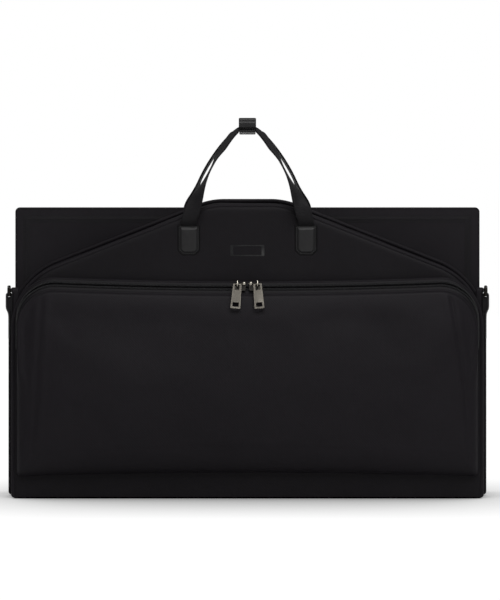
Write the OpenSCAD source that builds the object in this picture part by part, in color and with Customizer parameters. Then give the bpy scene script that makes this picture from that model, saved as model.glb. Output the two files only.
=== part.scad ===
// Bi-fold garment bag, folded shut and standing on its fold.
// The shoulder half is in front, the skirt half behind it, and a bottom panel joins them.
// X runs across the bag, Y from front to back, Z up. The origin is under the bottom panel.

/* [Bag] */
// Width of the shoulder half over its edge piping
bag_w = 610; // [560:5:680]
// Width of the skirt half over its edge piping
rear_w = 596; // [560:2:640]
// Depth of each half, from its outer panel to its inner face
half_d = 46; // [36:1:60]
// Room between the inner faces of the two halves
fold_gap = 10; // [9:0.5:16]
// Height of the shoulder half at its neck
front_h = 378; // [350:1:420]
// Height of the skirt half
rear_h = 368; // [350:1:410]
// Radius of the shoulders
shoulder_r = 95; // [60:1:105]
// Height of the shoulders' centres
shoulder_z = 212; // [195:1:230]
// Radius of the neck's ends
neck_r = 90; // [60:1:110]
// Half the flat run at the neck
neck_x = 30; // [20:1:45]
// Radius of the skirt half's top corners
rear_corner_r = 14; // [10:1:30]

/* [Cloth] */
// Thickness of the padded outer walls
wall = 2.5; // [1.5:0.1:4]
// Thickness of the inner flaps
flap_t = 2; // [1:0.1:2.4]
// Thickness of the stiffening boards
board_t = 1.5; // [1:0.1:3]
// Diameter of the edge piping
piping_d = 5; // [3:0.5:7]
// How far the side walls flare from the outer panel to the inner face
flare = 8; // [4:0.5:14]
// Diameter of the welts along the two folds
welt_d = 6; // [5:0.5:8]
// Thickness of the bottom panel
base_t = 4; // [2:0.1:4.5]

/* [Pocket] */
// Height of the pocket's lower edge
pocket_z = 27; // [20:1:50]
// Height of the pocket's upper edge at its middle
pocket_top = 273; // [255:1:285]
// How much higher the upper edge is at its ends
zip_bow = 5; // [0:0.5:8]
// How far the pocket stands out from the panel
pocket_d = 25; // [22:1:40]
// Thickness of the pocket's cloth
pocket_wall = 2; // [1.5:0.1:3]
// Radius of the pocket's upper corners
pocket_r = 48; // [30:1:60]
// How far the zip runs down the sides below the upper corners
zip_side = 36; // [34:1:90]
// How far the sides bow outwards at the ends of the zip
side_bow = 0.6; // [0.2:0.1:1.5]

/* [Zip] */
// Width of the two rows of teeth together
teeth_w = 4.8; // [4:0.2:6]
// Thickness of the teeth
teeth_t = 2.4; // [1.8:0.1:3]
// Thickness of the tape
tape_t = 0.8; // [0.5:0.1:1.2]
// Length of a slider
slider_l = 14; // [12:0.5:16]
// Gap between the two sliders' noses
slider_gap = 4; // [1:0.5:10]
// Length of a pull
pull_l = 31.5; // [28:0.5:45]
// Width of a pull
pull_w = 12.4; // [10:0.2:15]
// Thickness of a pull
pull_t = 1.8; // [1.4:0.1:2.4]
// How far a hanging pull leans to its side, in degrees
pull_lean = 5; // [0:1:8]
// How far a hanging pull stands off the pocket, in degrees
pull_tip = 16; // [14:1:25]

/* [Handles] */
// Width of the webbing
strap_w = 20; // [18:0.5:26]
// Width of the webbing where the wrap draws it in
strap_top_w = 18; // [16:1:22]
// Thickness of the webbing
strap_t = 2; // [1.6:0.1:3]
// Distance between the middles of a handle's patches
handle_span = 147; // [120:1:180]
// Rise of the front handle's loop above the patches
handle_rise = 122.6; // [100:0.2:145]
// How much looser the rear handle's loop is
rear_slack = 10; // [0:0.5:12]
// Width of a patch
patch_w = 28.4; // [26:0.2:34]
// Height of a patch
patch_h = 38; // [30:1:46]
// How far the front patches' upper edge is below the neck
front_patch_drop = 35; // [30:1:50]
// How far the rear patches' upper edge is below the top of the skirt half
rear_patch_drop = 25; // [22:1:40]
// Width of the wrap along the handle
wrap_w = 22; // [18:1:30]
// Height of the wrap
wrap_h = 19; // [18:0.5:26]

/* [Fittings] */
// Width of the bare badge plate
badge_w = 42.6; // [30:0.2:60]
// Height of the bare badge plate
badge_h = 13.8; // [10:0.2:18]
// Inside width of the side rings that take a shoulder strap
ring_w = 22; // [20:1:30]
// Diameter of the ring's wire
ring_d = 3; // [2.5:0.5:4]
// Height of the rings between the middles of their bars
ring_h = 11; // [9:0.5:16]
// Height of a ring's pivot above the shoulders' centres
ring_rise = 43; // [32:1:46]
// Diameter of the hook's wire
hook_d = 4.5; // [3:0.5:5]
// Length of the hook from its pivot to its tip
hook_reach = 94; // [80:1:98]

/* [Hidden] */

// Clearances: cloth beside cloth, and a pin in its bore
fit = 0.3;
running = 0.05;

// Depths of the bag's layers, as distances from its middle plane
inner_y = fold_gap / 2;
outer_y = inner_y + half_d;
panel_in_y = outer_y - wall;
board_in_y = panel_in_y - board_t;
flap_in_y = inner_y + flap_t;

// The folds: the welts lie on the ground, and the halves stand on them
welt_r = welt_d / 2;
fold_y = outer_y - welt_r;
fold_z = welt_d + fit;

// Insets from the bag's outline: the rim piping is outermost
piping_r = piping_d / 2;
rim_in = piping_d + fit;
panel_in = rim_in + flare;
flap_in = rim_in + wall + flare * flap_t / (panel_in_y - inner_y) + fit;
piping_in = panel_in - piping_r - fit;
main_zip_w = 9;
main_zip_t = 1.4;
main_zip_in = flap_in + 2;
board_play = wall + 4;

// Heights that follow from the two halves'
front_patch_top = front_h - front_patch_drop;
rear_patch_top = rear_h - rear_patch_drop;
handle_top = front_patch_top + handle_rise;
zip_end_z = pocket_top - pocket_r - zip_side;
ring_z = shoulder_z + ring_rise;

// The shoulder line is the common tangent of the shoulder and neck circles
shoulder_x = bag_w / 2 - shoulder_r;
neck_z = front_h - neck_r;
tangent_dx = shoulder_x - neck_x;
tangent_dz = neck_z - shoulder_z;
slope = acos((shoulder_r - neck_r) / norm([tangent_dx, tangent_dz])) - atan2(tangent_dx, tangent_dz);

cloth_black = [0.12, 0.12, 0.13];
lining_grey = [0.2, 0.2, 0.21];
leather_black = [0.15, 0.15, 0.15];
gunmetal = [0.6, 0.58, 0.54];
steel = [0.72, 0.72, 0.73];
board_grey = [0.35, 0.35, 0.36];

// Outlines, as points [x, z] from the lower left over the top to the lower right

function arc(c, r, from, to, n) =
  [for (i = [0 : n]) let (a = from + (to - from) * i / n) [c[0] + r * cos(a), c[1] + r * sin(a)]];

function mirrored(points) = [for (i = [len(points) - 1 : -1 : 0]) [-points[i][0], points[i][1]]];

function front_left(inset, lift) = concat(
  [[-bag_w / 2 + inset, fold_z + lift]],
  arc([-shoulder_x, shoulder_z], shoulder_r - inset, 180, 90 + slope, 9),
  arc([-neck_x, neck_z], neck_r - inset, 90 + slope, 90, 4));

function front_outline(inset, lift = 0) =
  concat(front_left(inset, lift), mirrored(front_left(inset, lift)));

function rear_left(inset, lift) = let (r = max(rear_corner_r - inset, 2)) concat(
  [[-rear_w / 2 + inset, fold_z + lift]],
  arc([-rear_w / 2 + inset + r, rear_h - inset - r], r, 180, 90, 6));

function rear_outline(inset, lift = 0) =
  concat(rear_left(inset, lift), mirrored(rear_left(inset, lift)));

// General shapes

// A flat plate in the XZ plane, from depth y0 back to depth y1
module plate(points, y0, y1) {
  translate([0, y1, 0]) rotate([90, 0, 0]) linear_extrude(y1 - y0) polygon(points);
}

// An outline set at a depth
function at_depth(points, y) = [for (p = points) [p[0], y, p[1]]];

// The two triangles of a four-sided face
function quad(a, b, c, d) = [[a, b, c], [a, c, d]];

// A solid through rings of equal count, from the front to the back; the first and last are flat.
// Faces for which open(k, i) holds are left out: those from ring k, between its points i and i + 1.
module skin(rings, open = function (k, i) false, added = []) {
  n = len(rings[0]);
  points = [for (ring = rings) for (p = ring) p];
  last = (len(rings) - 1) * n;
  front_cap = [for (i = [0 : n - 1]) i];
  back_cap = [for (i = [n - 1 : -1 : 0]) last + i];
  sides = [for (k = [0 : len(rings) - 2]) for (i = [0 : n - 1])
    let (j = (i + 1) % n)
    if (!open(k, i))
      for (face = quad(k * n + i, k * n + n + i, k * n + n + j, k * n + j)) face];
  polyhedron(points, concat([front_cap, back_cap], sides, added), convexity = 6);
}

// A bar of four-cornered sections, each given as its corners
module sweep(sections) {
  n = len(sections);
  points = [for (section = sections) for (p = section) p];
  walls = [for (i = [0 : n - 2]) for (k = [0 : 3])
    let (m = (k + 1) % 4)
    for (face = quad(4 * i + k, 4 * i + m, 4 * i + m + 4, 4 * i + k + 4)) face];
  last = 4 * (n - 1);
  polyhedron(points, concat([[3, 2, 1, 0], [last, last + 1, last + 2, last + 3]], walls), convexity = 8);
}

// A round cord that follows an outline at one depth
module cord_along(points, y, r) {
  sides = 8;
  n = len(points);
  rings = [for (i = [0 : n - 1])
    let (t = points[min(i + 1, n - 1)] - points[max(i - 1, 0)], u = t / norm(t), out = [-u[1], u[0]])
    for (s = [0 : sides - 1])
      let (a = 360 * s / sides)
      [points[i][0] + r * cos(a) * out[0], y + r * sin(a), points[i][1] + r * cos(a) * out[1]]];
  start = [for (s = [sides - 1 : -1 : 0]) s];
  end = [for (s = [0 : sides - 1]) (n - 1) * sides + s];
  walls = [for (i = [0 : n - 2]) for (s = [0 : sides - 1])
    let (e = (s + 1) % sides, a = i * sides + s, b = i * sides + e)
    for (face = quad(a, b, b + sides, a + sides)) face];
  polyhedron(rings, concat([start, end], walls), convexity = 6);
}

// A rounded rectangle as points, centred on the origin
function rounded(w, h, r, n = 6) = [for (q = [0 : 3])
  let (sx = (q == 0 || q == 3) ? 1 : -1, sy = q < 2 ? 1 : -1)
  for (p = arc([sx * (w / 2 - r), sy * (h / 2 - r)], r, 90 * q, 90 * (q + 1), n)) p];

// A tray with flared walls, open at its inner side
module tray(outer, inner) {
  difference() {
    skin([at_depth(outer[0], -panel_in_y), at_depth(outer[1], -inner_y)]);
    skin([at_depth(inner[0], -panel_in_y - 1), at_depth(inner[1], -inner_y + 1)]);
  }
}

// A flat band that follows an outline on an inner face, on the sides and the top
module band(outer, inner, y0, y1, keep_above) {
  difference() {
    plate(outer, y0, y1);
    plate(inner, y0 - 1, y1 + 1);
    translate([-bag_w, y0 - 1, -1]) cube([2 * bag_w, y1 - y0 + 2, keep_above + 1]);
  }
}

// Bottom panel and the two folds

module base_panel() {
  color(cloth_black)
    translate([-rear_w / 2 + rim_in, -fold_y + welt_r + fit, 0])
      cube([rear_w - 2 * rim_in, 2 * (fold_y - welt_r - fit), base_t]);
}

// A welt is as long as the piping of the half that folds on it
module welt(side) {
  length = (side < 0 ? bag_w : rear_w) - 2 * (piping_in - piping_r);
  color(cloth_black) translate([0, side * fold_y, welt_r])
    rotate([0, 90, 0]) cylinder(h = length, r = welt_r, center = true, $fn = 32);
}

// Shoulder half

module front_panel() {
  color(cloth_black) plate(front_outline(panel_in), -outer_y, -panel_in_y);
}

module front_board() {
  color(board_grey) plate(front_outline(panel_in + board_play, board_play), -panel_in_y, -board_in_y);
}

module front_gusset() {
  color(cloth_black)
    tray([front_outline(panel_in), front_outline(rim_in)],
         [front_outline(panel_in + wall, wall), front_outline(rim_in + wall, wall)]);
}

module front_flap() {
  color(lining_grey) plate(front_outline(flap_in, wall + fit), -flap_in_y, -inner_y);
}

module front_main_zip() {
  color(cloth_black)
    band(front_outline(main_zip_in), front_outline(main_zip_in + main_zip_w),
         -inner_y, -inner_y + main_zip_t, fold_z + wall + fit);
}

module front_piping() {
  color(cloth_black) cord_along(front_outline(piping_in), -outer_y + piping_r, piping_r);
}

module front_rim_piping() {
  color(cloth_black) cord_along(front_outline(piping_r), -inner_y - piping_r, piping_r);
}

// Skirt half

module rear_panel() {
  color(cloth_black) plate(rear_outline(panel_in), panel_in_y, outer_y);
}

module rear_board() {
  color(board_grey) plate(rear_outline(panel_in + board_play, board_play), board_in_y, panel_in_y);
}

module rear_gusset() {
  color(cloth_black) mirror([0, 1, 0])
    tray([rear_outline(panel_in), rear_outline(rim_in)],
         [rear_outline(panel_in + wall, wall), rear_outline(rim_in + wall, wall)]);
}

module rear_flap() {
  color(lining_grey) plate(rear_outline(flap_in, wall + fit), inner_y, flap_in_y);
}

module rear_main_zip() {
  color(cloth_black)
    band(rear_outline(main_zip_in), rear_outline(main_zip_in + main_zip_w),
         inner_y - main_zip_t, inner_y, fold_z + wall + fit);
}

module rear_piping() {
  color(cloth_black) cord_along(rear_outline(piping_in), outer_y - piping_r, piping_r);
}

module rear_rim_piping() {
  color(cloth_black) cord_along(rear_outline(piping_r), inner_y + piping_r, piping_r);
}

// A slider of the main zip, with a finger tab in one piece, in the fold between the halves
main_slider_w = main_zip_w + 3;
main_slider_x = rear_w / 2 - main_zip_in - main_zip_w / 2;
main_slider_z = 60;
main_slider_h = 14;
main_slider_t = 2;
main_tab_w = 7;
main_tab_h = 24;
main_tab_t = 1.2;
module main_zip_slider(side) {
  face_y = inner_y - main_zip_t - fit;
  color(gunmetal) translate([side * main_slider_x, face_y, main_slider_z]) {
    plate(rounded(main_slider_w, main_slider_h, 3), -main_slider_t, 0);
    translate([0, (main_tab_t - main_slider_t) / 2, -main_slider_h])
      plate(rounded(main_tab_w, main_tab_h, 3), -main_tab_t, 0);
  }
}

// Front pocket, with a zip over its upper edge and round its upper corners

// Each layer of the pocket, from the panel outwards: how far it draws in at the sides, drops at the
// top and rises at the bottom, and how far it stands out from the panel at the sides and at the top
pocket_half_w = bag_w / 2 - panel_in - 2;
shelf_d = 11;
shelf_drop = 2;
zip_h = 14;
zip_run = 5;
pocket_back = [0, 0, 0, 0, 0];
zip_upper = [0.5, shelf_drop, 1, 2, shelf_d];
zip_lower = [3, shelf_drop + zip_h, 5, 17, shelf_d + zip_run];
face_drop = 20;
pocket_face = [14, shelf_drop + zip_h + face_drop, 16, pocket_d, pocket_d];
foot_r = 14;
foot_steps = 4;
corner_steps = 8;
top_steps = 6;
function bowed(x) = zip_bow * pow(x / (pocket_half_w - pocket_r), 2);

// The left half of a layer, from the lower edge to the middle of the top, drawn in by a wall
function pocket_left(layer, wall_in, back) = let (
    w = pocket_half_w - layer[0] - wall_in,
    r = pocket_r - layer[0] / 2,
    top = pocket_top - layer[1] - wall_in,
    foot = pocket_z + layer[2] + wall_in,
    side_y = -outer_y - layer[3] + back,
    top_y = -outer_y - layer[4] + back,
    x1 = w - r)
  concat(
    [for (p = arc([-(w - foot_r), foot + foot_r], foot_r, 270, 180, foot_steps)) [p[0], side_y, p[1]]],
    [[-w - side_bow, side_y, zip_end_z]],
    [for (i = [0 : corner_steps])
      let (a = 180 - 90 * i / corner_steps, turn = (1 - cos(180 * i / corner_steps)) / 2)
      [-x1 + r * cos(a), side_y + (top_y - side_y) * turn, top + bowed(x1) - r + r * sin(a)]],
    [for (i = [1 : top_steps]) let (x = -x1 * (1 - i / top_steps)) [x, top_y, top + bowed(x)]]);

function pocket_ring(layer, wall_in = 0, back = 0) =
  let (left = pocket_left(layer, wall_in, back), last = len(left) - 1)
  concat(left, [for (i = [last - 1 : -1 : 0]) [-left[i][0], left[i][1], left[i][2]]]);

// The zip lies on the band between its upper and lower layers. A section of a strip on it runs from
// one distance below the zip line to another, and from one height above the cloth to another.
upper_edge = pocket_ring(zip_upper);
lower_edge = pocket_ring(zip_lower);
zip_line = (upper_edge + lower_edge) / 2;
zip_first = foot_steps + 1;
zip_last = len(zip_line) - 1 - zip_first;

function zip_section(i, v0, v1, h0, h1) = let (
    across = lower_edge[i] - upper_edge[i],
    down = across / norm(across),
    run = zip_line[min(i + 1, zip_last)] - zip_line[max(i - 1, zip_first)],
    normal = cross(down, run),
    out = normal / norm(normal))
  [for (c = [[v0, h0], [v1, h0], [v1, h1], [v0, h1]]) zip_line[i] + c[0] * down + c[1] * out];

module zip_strip(v0, v1, h0, h1) {
  sweep([for (i = [zip_first : zip_last]) zip_section(i, v0, v1, h0, h1)]);
}

// Distances from the zip line: the post's gap, the two rows of teeth, the tapes and the cut in the cloth
post_t = 1;
post_l = 3;
track_play = 0.6;
teeth_from = post_t / 2 + track_play;
teeth_to = teeth_from + teeth_w / 2;
tape_gap = 0.1;
tape_from = teeth_to + tape_gap;
tape_to = zip_h / 2;
slot_to = teeth_to + 2.2;
teeth_low = -0.4;
teeth_high = teeth_low + teeth_t;
tape_lift = 0.2;

// An edge of the slot for the zip, between the rings above and below it. The inner wall's middle lies
// lower than the zip line, so the edge is measured from the zip line on both walls.
function slot_edge(upper, lower, side) = [for (i = [0 : len(upper) - 1]) let (
    across = lower_edge[i] - upper_edge[i],
    down = across / norm(across),
    middle = (upper[i] + lower[i]) / 2)
  middle + (side * slot_to - (middle - zip_line[i]) * down) * down];

// The rings of one side of the pocket's wall, from its face to the panel
function wall_rings(wall_in, back) = let (
    upper = pocket_ring(zip_upper, wall_in, back),
    lower = pocket_ring(zip_lower, wall_in, back))
  [pocket_ring(pocket_face, wall_in, 2 * back), lower, slot_edge(upper, lower, 1),
   slot_edge(upper, lower, -1), upper, pocket_ring(pocket_back, wall_in)];

// The rings run from the face to the panel outside, and back to the face inside. The slot's lower
// edge is rings 2 and 9, its upper edge 3 and 8, and its lips join the outer wall to the inner one.
module pocket_shell() {
  inner = wall_rings(pocket_wall, pocket_wall / 2);
  rings = concat(wall_rings(0, 0), [for (k = [len(inner) - 1 : -1 : 0]) inner[k]]);
  n = len(rings[0]);
  lips = [for (i = [zip_first : zip_last - 1]) for (face = concat(
    quad(2 * n + i + 1, 2 * n + i, 9 * n + i, 9 * n + i + 1),
    quad(3 * n + i, 3 * n + i + 1, 8 * n + i + 1, 8 * n + i))) face];
  ends = concat(
    quad(2 * n + zip_first, 3 * n + zip_first, 8 * n + zip_first, 9 * n + zip_first),
    quad(2 * n + zip_last, 9 * n + zip_last, 8 * n + zip_last, 3 * n + zip_last));
  color(cloth_black) skin(rings,
    open = function (k, i) (k == 2 || k == 8) && i >= zip_first && i < zip_last,
    added = concat(lips, ends));
}

module tape(side) {
  v = side > 0 ? [tape_from, tape_to] : [-tape_to, -tape_from];
  color(cloth_black) zip_strip(v[0], v[1], tape_lift, tape_lift + tape_t);
}

module teeth_row(side) {
  v = side > 0 ? [teeth_from, teeth_to] : [-teeth_to, -teeth_from];
  color(leather_black) zip_strip(v[0], v[1], teeth_low, teeth_high);
}

// Zip sliders and their pulls, in a frame on the slanted side at the zip line:
// X along the zip, Y down the slope and Z out of the cloth

zip_angle = atan2(zip_h, zip_run);
zip_y = -outer_y - shelf_d - zip_run / 2;
zip_z = pocket_top - shelf_drop - zip_h / 2;
zip_x = slider_gap / 2 + slider_l / 2;
module on_zip(side) {
  translate([side * zip_x, zip_y, zip_z + bowed(zip_x)])
    rotate([zip_angle, 0, 0]) rotate([0, 0, 180]) children();
}

// Heights in that frame: the wings clear the teeth, and the bail stands on the upper wing
flange_t = 0.9;
wing_t = 1.5;
wing_w = 2 * (teeth_to + track_play + flange_t);
upper_wing = teeth_high + track_play;
lower_wing = teeth_low - track_play - wing_t;
flange_low = tape_lift + tape_t + track_play;
bail_d = 1.8;
bail_off = 3.5;
bail_up = 2.6;
bail_room = pull_t + 2.4;
bail_reach = pull_t / 2 + 0.8 + bail_d / 2;
bail_z = upper_wing + wing_t + bail_room + bail_d / 2;
pull_pivot = upper_wing + wing_t + bail_room / 2;

// The wings are widest at the crown, where the two rows of teeth part
nose_l = 3;
nose_w = 0.68;
crown_cut = 1.2;
module slider_outline(w) {
  half = slider_l / 2;
  polygon([
    [-half, -w * nose_w / 2], [-half + nose_l, -w / 2], [half - crown_cut, -w / 2],
    [half, -w / 2 + crown_cut], [half, w / 2 - crown_cut], [half - crown_cut, w / 2],
    [-half + nose_l, w / 2], [-half, w * nose_w / 2]
  ]);
}

// The crowns face each other at the middle of the zip, each with a dome on its upper edge. The bail
// stands towards that edge too, on a tongue of the wing, so that the pull hangs from above the teeth.
dome_r = 2.8;
dome_in = 2.2;
dome_up = 4.2;
module zip_slider(side) {
  color(gunmetal) on_zip(side) mirror([side > 0 ? 0 : 1, 0, 0]) {
    translate([0, 0, upper_wing]) linear_extrude(wing_t) slider_outline(wing_w);
    translate([0, 0, lower_wing]) linear_extrude(wing_t) slider_outline(wing_w - 2 * flange_t);
    translate([slider_l / 2 - post_l - 1, -post_t / 2, lower_wing + wing_t / 2])
      cube([post_l, post_t, upper_wing - lower_wing]);
    for (e = [-1, 1])
      translate([-slider_l / 2 + nose_l, e * (wing_w - flange_t) / 2 - flange_t / 2, flange_low])
        cube([slider_l - nose_l - 2, flange_t, upper_wing + wing_t / 2 - flange_low]);
    translate([slider_l / 2 - dome_in, -dome_up, upper_wing]) intersection() {
      translate([0, 0, wing_t]) sphere(r = dome_r, $fn = 32);
      translate([-dome_r, -dome_r, 0]) cube([2 * dome_r, 2 * dome_r, wing_t + dome_r]);
    }
    translate([-bail_off, -bail_up, 0]) {
      translate([-bail_d / 2, -bail_reach - bail_d / 2, upper_wing])
        cube([bail_d, bail_reach + bail_d / 2, wing_t]);
      for (e = [-1, 1])
        translate([0, e * bail_reach, upper_wing + wing_t / 2])
          cylinder(h = bail_z - upper_wing - wing_t / 2, d = bail_d, $fn = 24);
      translate([0, 0, bail_z]) rotate([90, 0, 0])
        cylinder(h = 2 * bail_reach + bail_d, d = bail_d, center = true, $fn = 24);
    }
  }
}

// A pull hangs from its round top bar, which lies under the bail; the bail passes through its eye
pull_eye_w = 6;
pull_eye_h = 7.5;
pull_foot_w = 7.8;
pull_foot_h = 5.6;
pull_rim = 2.2;
pull_taper = 1;
pull_corner_r = 1;
pull_x = zip_x + bail_off;
pull_y = zip_y - pull_pivot * sin(zip_angle) + bail_up * cos(zip_angle);
pull_z = zip_z + bowed(zip_x) + pull_pivot * cos(zip_angle) + bail_up * sin(zip_angle);
module zip_pull(side) {
  color(gunmetal) translate([side * pull_x, pull_y, pull_z])
    rotate([0, -side * pull_lean, 0]) rotate([-pull_tip, 0, 0]) {
      rotate([0, 90, 0])
        cylinder(h = pull_w - 2 * pull_taper, d = pull_t, center = true, $fn = 24);
      translate([0, pull_t / 2, 0]) rotate([90, 0, 0]) linear_extrude(pull_t) difference() {
        polygon(concat(
          [[pull_w / 2 - pull_taper, 0]],
          arc([pull_w / 2 - pull_corner_r, -pull_l + pull_corner_r], pull_corner_r, 0, -90, 4),
          arc([-pull_w / 2 + pull_corner_r, -pull_l + pull_corner_r], pull_corner_r, -90, -180, 4),
          [[-pull_w / 2 + pull_taper, 0]]));
        translate([-pull_eye_w / 2, -pull_eye_h]) square([pull_eye_w, pull_eye_h + 1]);
        translate([-pull_foot_w / 2, -pull_l + pull_rim]) square([pull_foot_w, pull_foot_h]);
      }
    }
}

// Handles: patches, twisted webbing and the two halves of the wrap

// A leather patch with cut lower corners and a raised middle
patch_base_t = 1.4;
patch_pad_t = 1.2;
patch_cut = 6;
patch_rim = 4;
function patch_points(rim) = let (w = patch_w / 2 - rim, h = patch_h - 2 * rim, c = patch_cut - rim / 2)
  [[-w, 0], [w, 0], [w, -h + c], [w - c, -h], [-w + c, -h], [-w, -h + c]];

module patches(top) {
  for (side = [-1, 1]) translate([side * handle_span / 2, -outer_y, top]) {
    plate(patch_points(0), -patch_base_t, 0);
    translate([0, 0, -patch_rim]) plate(patch_points(patch_rim), -patch_base_t - patch_pad_t, -patch_base_t);
  }
}

// The webbing's swing axis lies just above the patches and just off the panel
strap_axis_y = outer_y + fit + strap_t / 2;
function strap_axis_z(top) = top + fit + strap_t / 2;

function bezier(b, u) = let (v = 1 - u)
  b[0] * v * v * v + b[1] * 3 * v * v * u + b[2] * 3 * v * u * u + b[3] * u * u * u;
function smooth(u) = let (c = min(max(u, 0), 1)) c * c * (3 - 2 * c);

// One leg from its patch to the wrap: wide face outwards at the patch, turned upwards at the wrap.
// Its shape: how far it swings wide, bows out and is pulled up from the patch, how far it is out from
// the wrap and below it where it turns inwards, its lift there, the start and run of its twist, and how
// much of the twist it gives back between the middle and the wrap, where its face shows again.
// Over its first run the webbing is level, so that it turns about its swing axis without a corner.
leg_steps = 24;
level_run = 0.15;
back_from = 0.56;
back_run = 0.12;
back_to = 0.86;
strap_mid_y = strap_top_w / 2 + 2;
strap_top_z = handle_top + strap_t / 2;
front_leg = [-3.5, 32, 27, 15, 6.2, 0, 0.03, 0.47, 0.4];
rear_leg = [rear_slack, 27, 34.5 + rear_slack, 15 + rear_slack, 15.7, 0.24 * rear_slack, 0.02, 0.41, 0];
function leg_curve(top, leg) = let (axis_z = strap_axis_z(top)) [
  [-handle_span / 2, -strap_axis_y, axis_z],
  [-handle_span / 2 - leg[0], -strap_axis_y - leg[1], axis_z + leg[2]],
  [-wrap_w / 2 - leg[3], -strap_mid_y, strap_top_z + leg[5] - leg[4]],
  [-wrap_w / 2, -strap_mid_y, strap_top_z + leg[5]]];

function leg_sections(top, leg) = let (b = leg_curve(top, leg))
  [for (i = [0 : leg_steps]) let (
    u = i / leg_steps,
    p = bezier(b, u),
    run = bezier(b, min(u + 0.01, 1)) - bezier(b, max(u - 0.01, 0)),
    along = i == leg_steps ? [1, 0, 0] : run / norm(run),
    arch = [-along[2], 0, along[0]],
    back = smooth((u - back_from) / back_run) - smooth((u - back_to) / (1 - back_to)),
    turn = smooth((u - leg[6]) / leg[7]) - leg[8] * back,
    side = cross(along, (1 - turn) * [0, -1, 0] + turn * arch),
    level = smooth(u / level_run),
    lean = (1 - level) * [1, 0, 0] + level * side / norm(side),
    across = lean / norm(lean),
    half = (strap_w + (strap_top_w - strap_w) * smooth(u)) / 2 * across,
    thick = strap_t / 2 * cross(across, along))
    [p - half - thick, p + half - thick, p + half + thick, p - half + thick]];

function flip_section(s) = [for (p = s) [-p[0], p[1], p[2]]];

module webbing(top, leg) {
  left = leg_sections(top, leg);
  right = [for (i = [leg_steps : -1 : 0]) flip_section(left[i])];
  sweep(concat(left, right));
  for (side = [-1, 1])
    translate([side * handle_span / 2, -strap_axis_y, strap_axis_z(top)])
      rotate([0, 90, 0]) cylinder(h = strap_w, d = strap_t + 2 * running, center = true, $fn = 24);
}

// Each half of the wrap is a padded sleeve on its own handle; magnets hold the two together
wrap_floor = 3.6;
wrap_z = handle_top - wrap_floor;
wrap_corner_r = 3.5;
wrap_meet = 0.2;
wrap_side = 2.2;
wrap_depth = strap_mid_y + strap_top_w / 2 + wrap_side - wrap_meet;
magnet_r = 3.5;
magnet_t = 1.5;
magnet_z = wrap_z + wrap_h - magnet_r - 2;

module wrap_half(leg) {
  strap_z = strap_top_z + leg[5];
  difference() {
    translate([-wrap_w / 2, -wrap_meet - wrap_depth / 2, wrap_z + wrap_h / 2])
      rotate([90, 0, 90]) linear_extrude(wrap_w) polygon(rounded(wrap_depth, wrap_h, wrap_corner_r));
    translate([0, -strap_mid_y, strap_z])
      cube([wrap_w + 2, strap_top_w + 2 * fit, strap_t + 2 * fit], center = true);
    translate([0, -wrap_meet + 1, magnet_z])
      rotate([90, 0, 0]) cylinder(h = magnet_t + 1 + running, r = magnet_r + running, $fn = 32);
  }
}

module wrap_magnet() {
  translate([0, -wrap_meet, magnet_z]) rotate([90, 0, 0]) cylinder(h = magnet_t, r = magnet_r, $fn = 32);
}

// Fittings on the outside

// A bare plate with rounded corners and a shallow sunk field
badge_t = 2;
badge_sunk = 0.5;
badge_side = 3.5;
badge_rim = 1.5;
badge_z = front_patch_top - 32;
module badge_plate() {
  color(leather_black) translate([0, -outer_y, badge_z]) difference() {
    plate(rounded(badge_w, badge_h, 1.2), -badge_t, 0);
    plate(rounded(badge_w - 2 * badge_side, badge_h - 2 * badge_rim, 0.8),
          -badge_t - 1, -badge_t + badge_sunk);
  }
}

// A frame on the gusset's side wall: X out of the wall, Y towards the back, Z up
tab_y = -27;
flare_angle = atan2(flare, panel_in_y - inner_y);
tab_x = bag_w / 2 - rim_in - flare * (-inner_y - tab_y) / (panel_in_y - inner_y);
module on_side(side) {
  mirror([side < 0 ? 1 : 0, 0, 0])
    translate([tab_x, tab_y, 0]) rotate([0, 0, -flare_angle]) children();
}

tab_w = ring_w - 2;
tab_pad_t = 2.5;
tab_pad_h = 14;
tab_rim = 2;
tab_t = 3;
tab_z = shoulder_z - tab_pad_h;
ring_r = ring_d / 2;
ring_bend = 4;
loop_t = 2.2;
loop_r = ring_r + running + loop_t;
ring_x = tab_pad_t + loop_r;
module side_tab(side) {
  color(cloth_black) on_side(side) difference() {
    union() {
      translate([0, -tab_w / 2 - tab_rim, tab_z]) cube([tab_pad_t, tab_w + 2 * tab_rim, tab_pad_h]);
      translate([tab_pad_t, -tab_w / 2, tab_z + tab_rim]) cube([tab_t, tab_w, ring_z - tab_z - tab_rim]);
      translate([ring_x, 0, ring_z])
        rotate([90, 0, 0]) cylinder(h = tab_w, r = loop_r, center = true, $fn = 32);
    }
    translate([ring_x, 0, ring_z])
      rotate([90, 0, 0]) cylinder(h = tab_w + 2, r = ring_r + running, center = true, $fn = 32);
  }
}

// A flat wire ring: a straight bar in the tab's loop, two legs, round shoulders and a top bar
module d_ring(side) {
  half = ring_w / 2 + ring_r;
  color(gunmetal) on_side(side) translate([ring_x, 0, ring_z]) {
    rotate([90, 0, 0]) cylinder(h = 2 * half, r = ring_r, center = true, $fn = 32);
    for (e = [-1, 1]) mirror([0, e < 0 ? 1 : 0, 0]) {
      translate([0, half, 0]) sphere(r = ring_r, $fn = 24);
      translate([0, half, 0]) cylinder(h = ring_h - ring_bend, r = ring_r, $fn = 32);
      translate([0, half - ring_bend, ring_h - ring_bend]) rotate([90, 0, 90])
        rotate_extrude(angle = 90, $fn = 32) translate([ring_bend, 0]) circle(r = ring_r, $fn = 24);
    }
    translate([0, 0, ring_h]) rotate([90, 0, 0])
      cylinder(h = 2 * (half - ring_bend), r = ring_r, center = true, $fn = 32);
  }
}

// Hanging hook: it lies in the fold and turns in its own plane about a rivet

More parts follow.
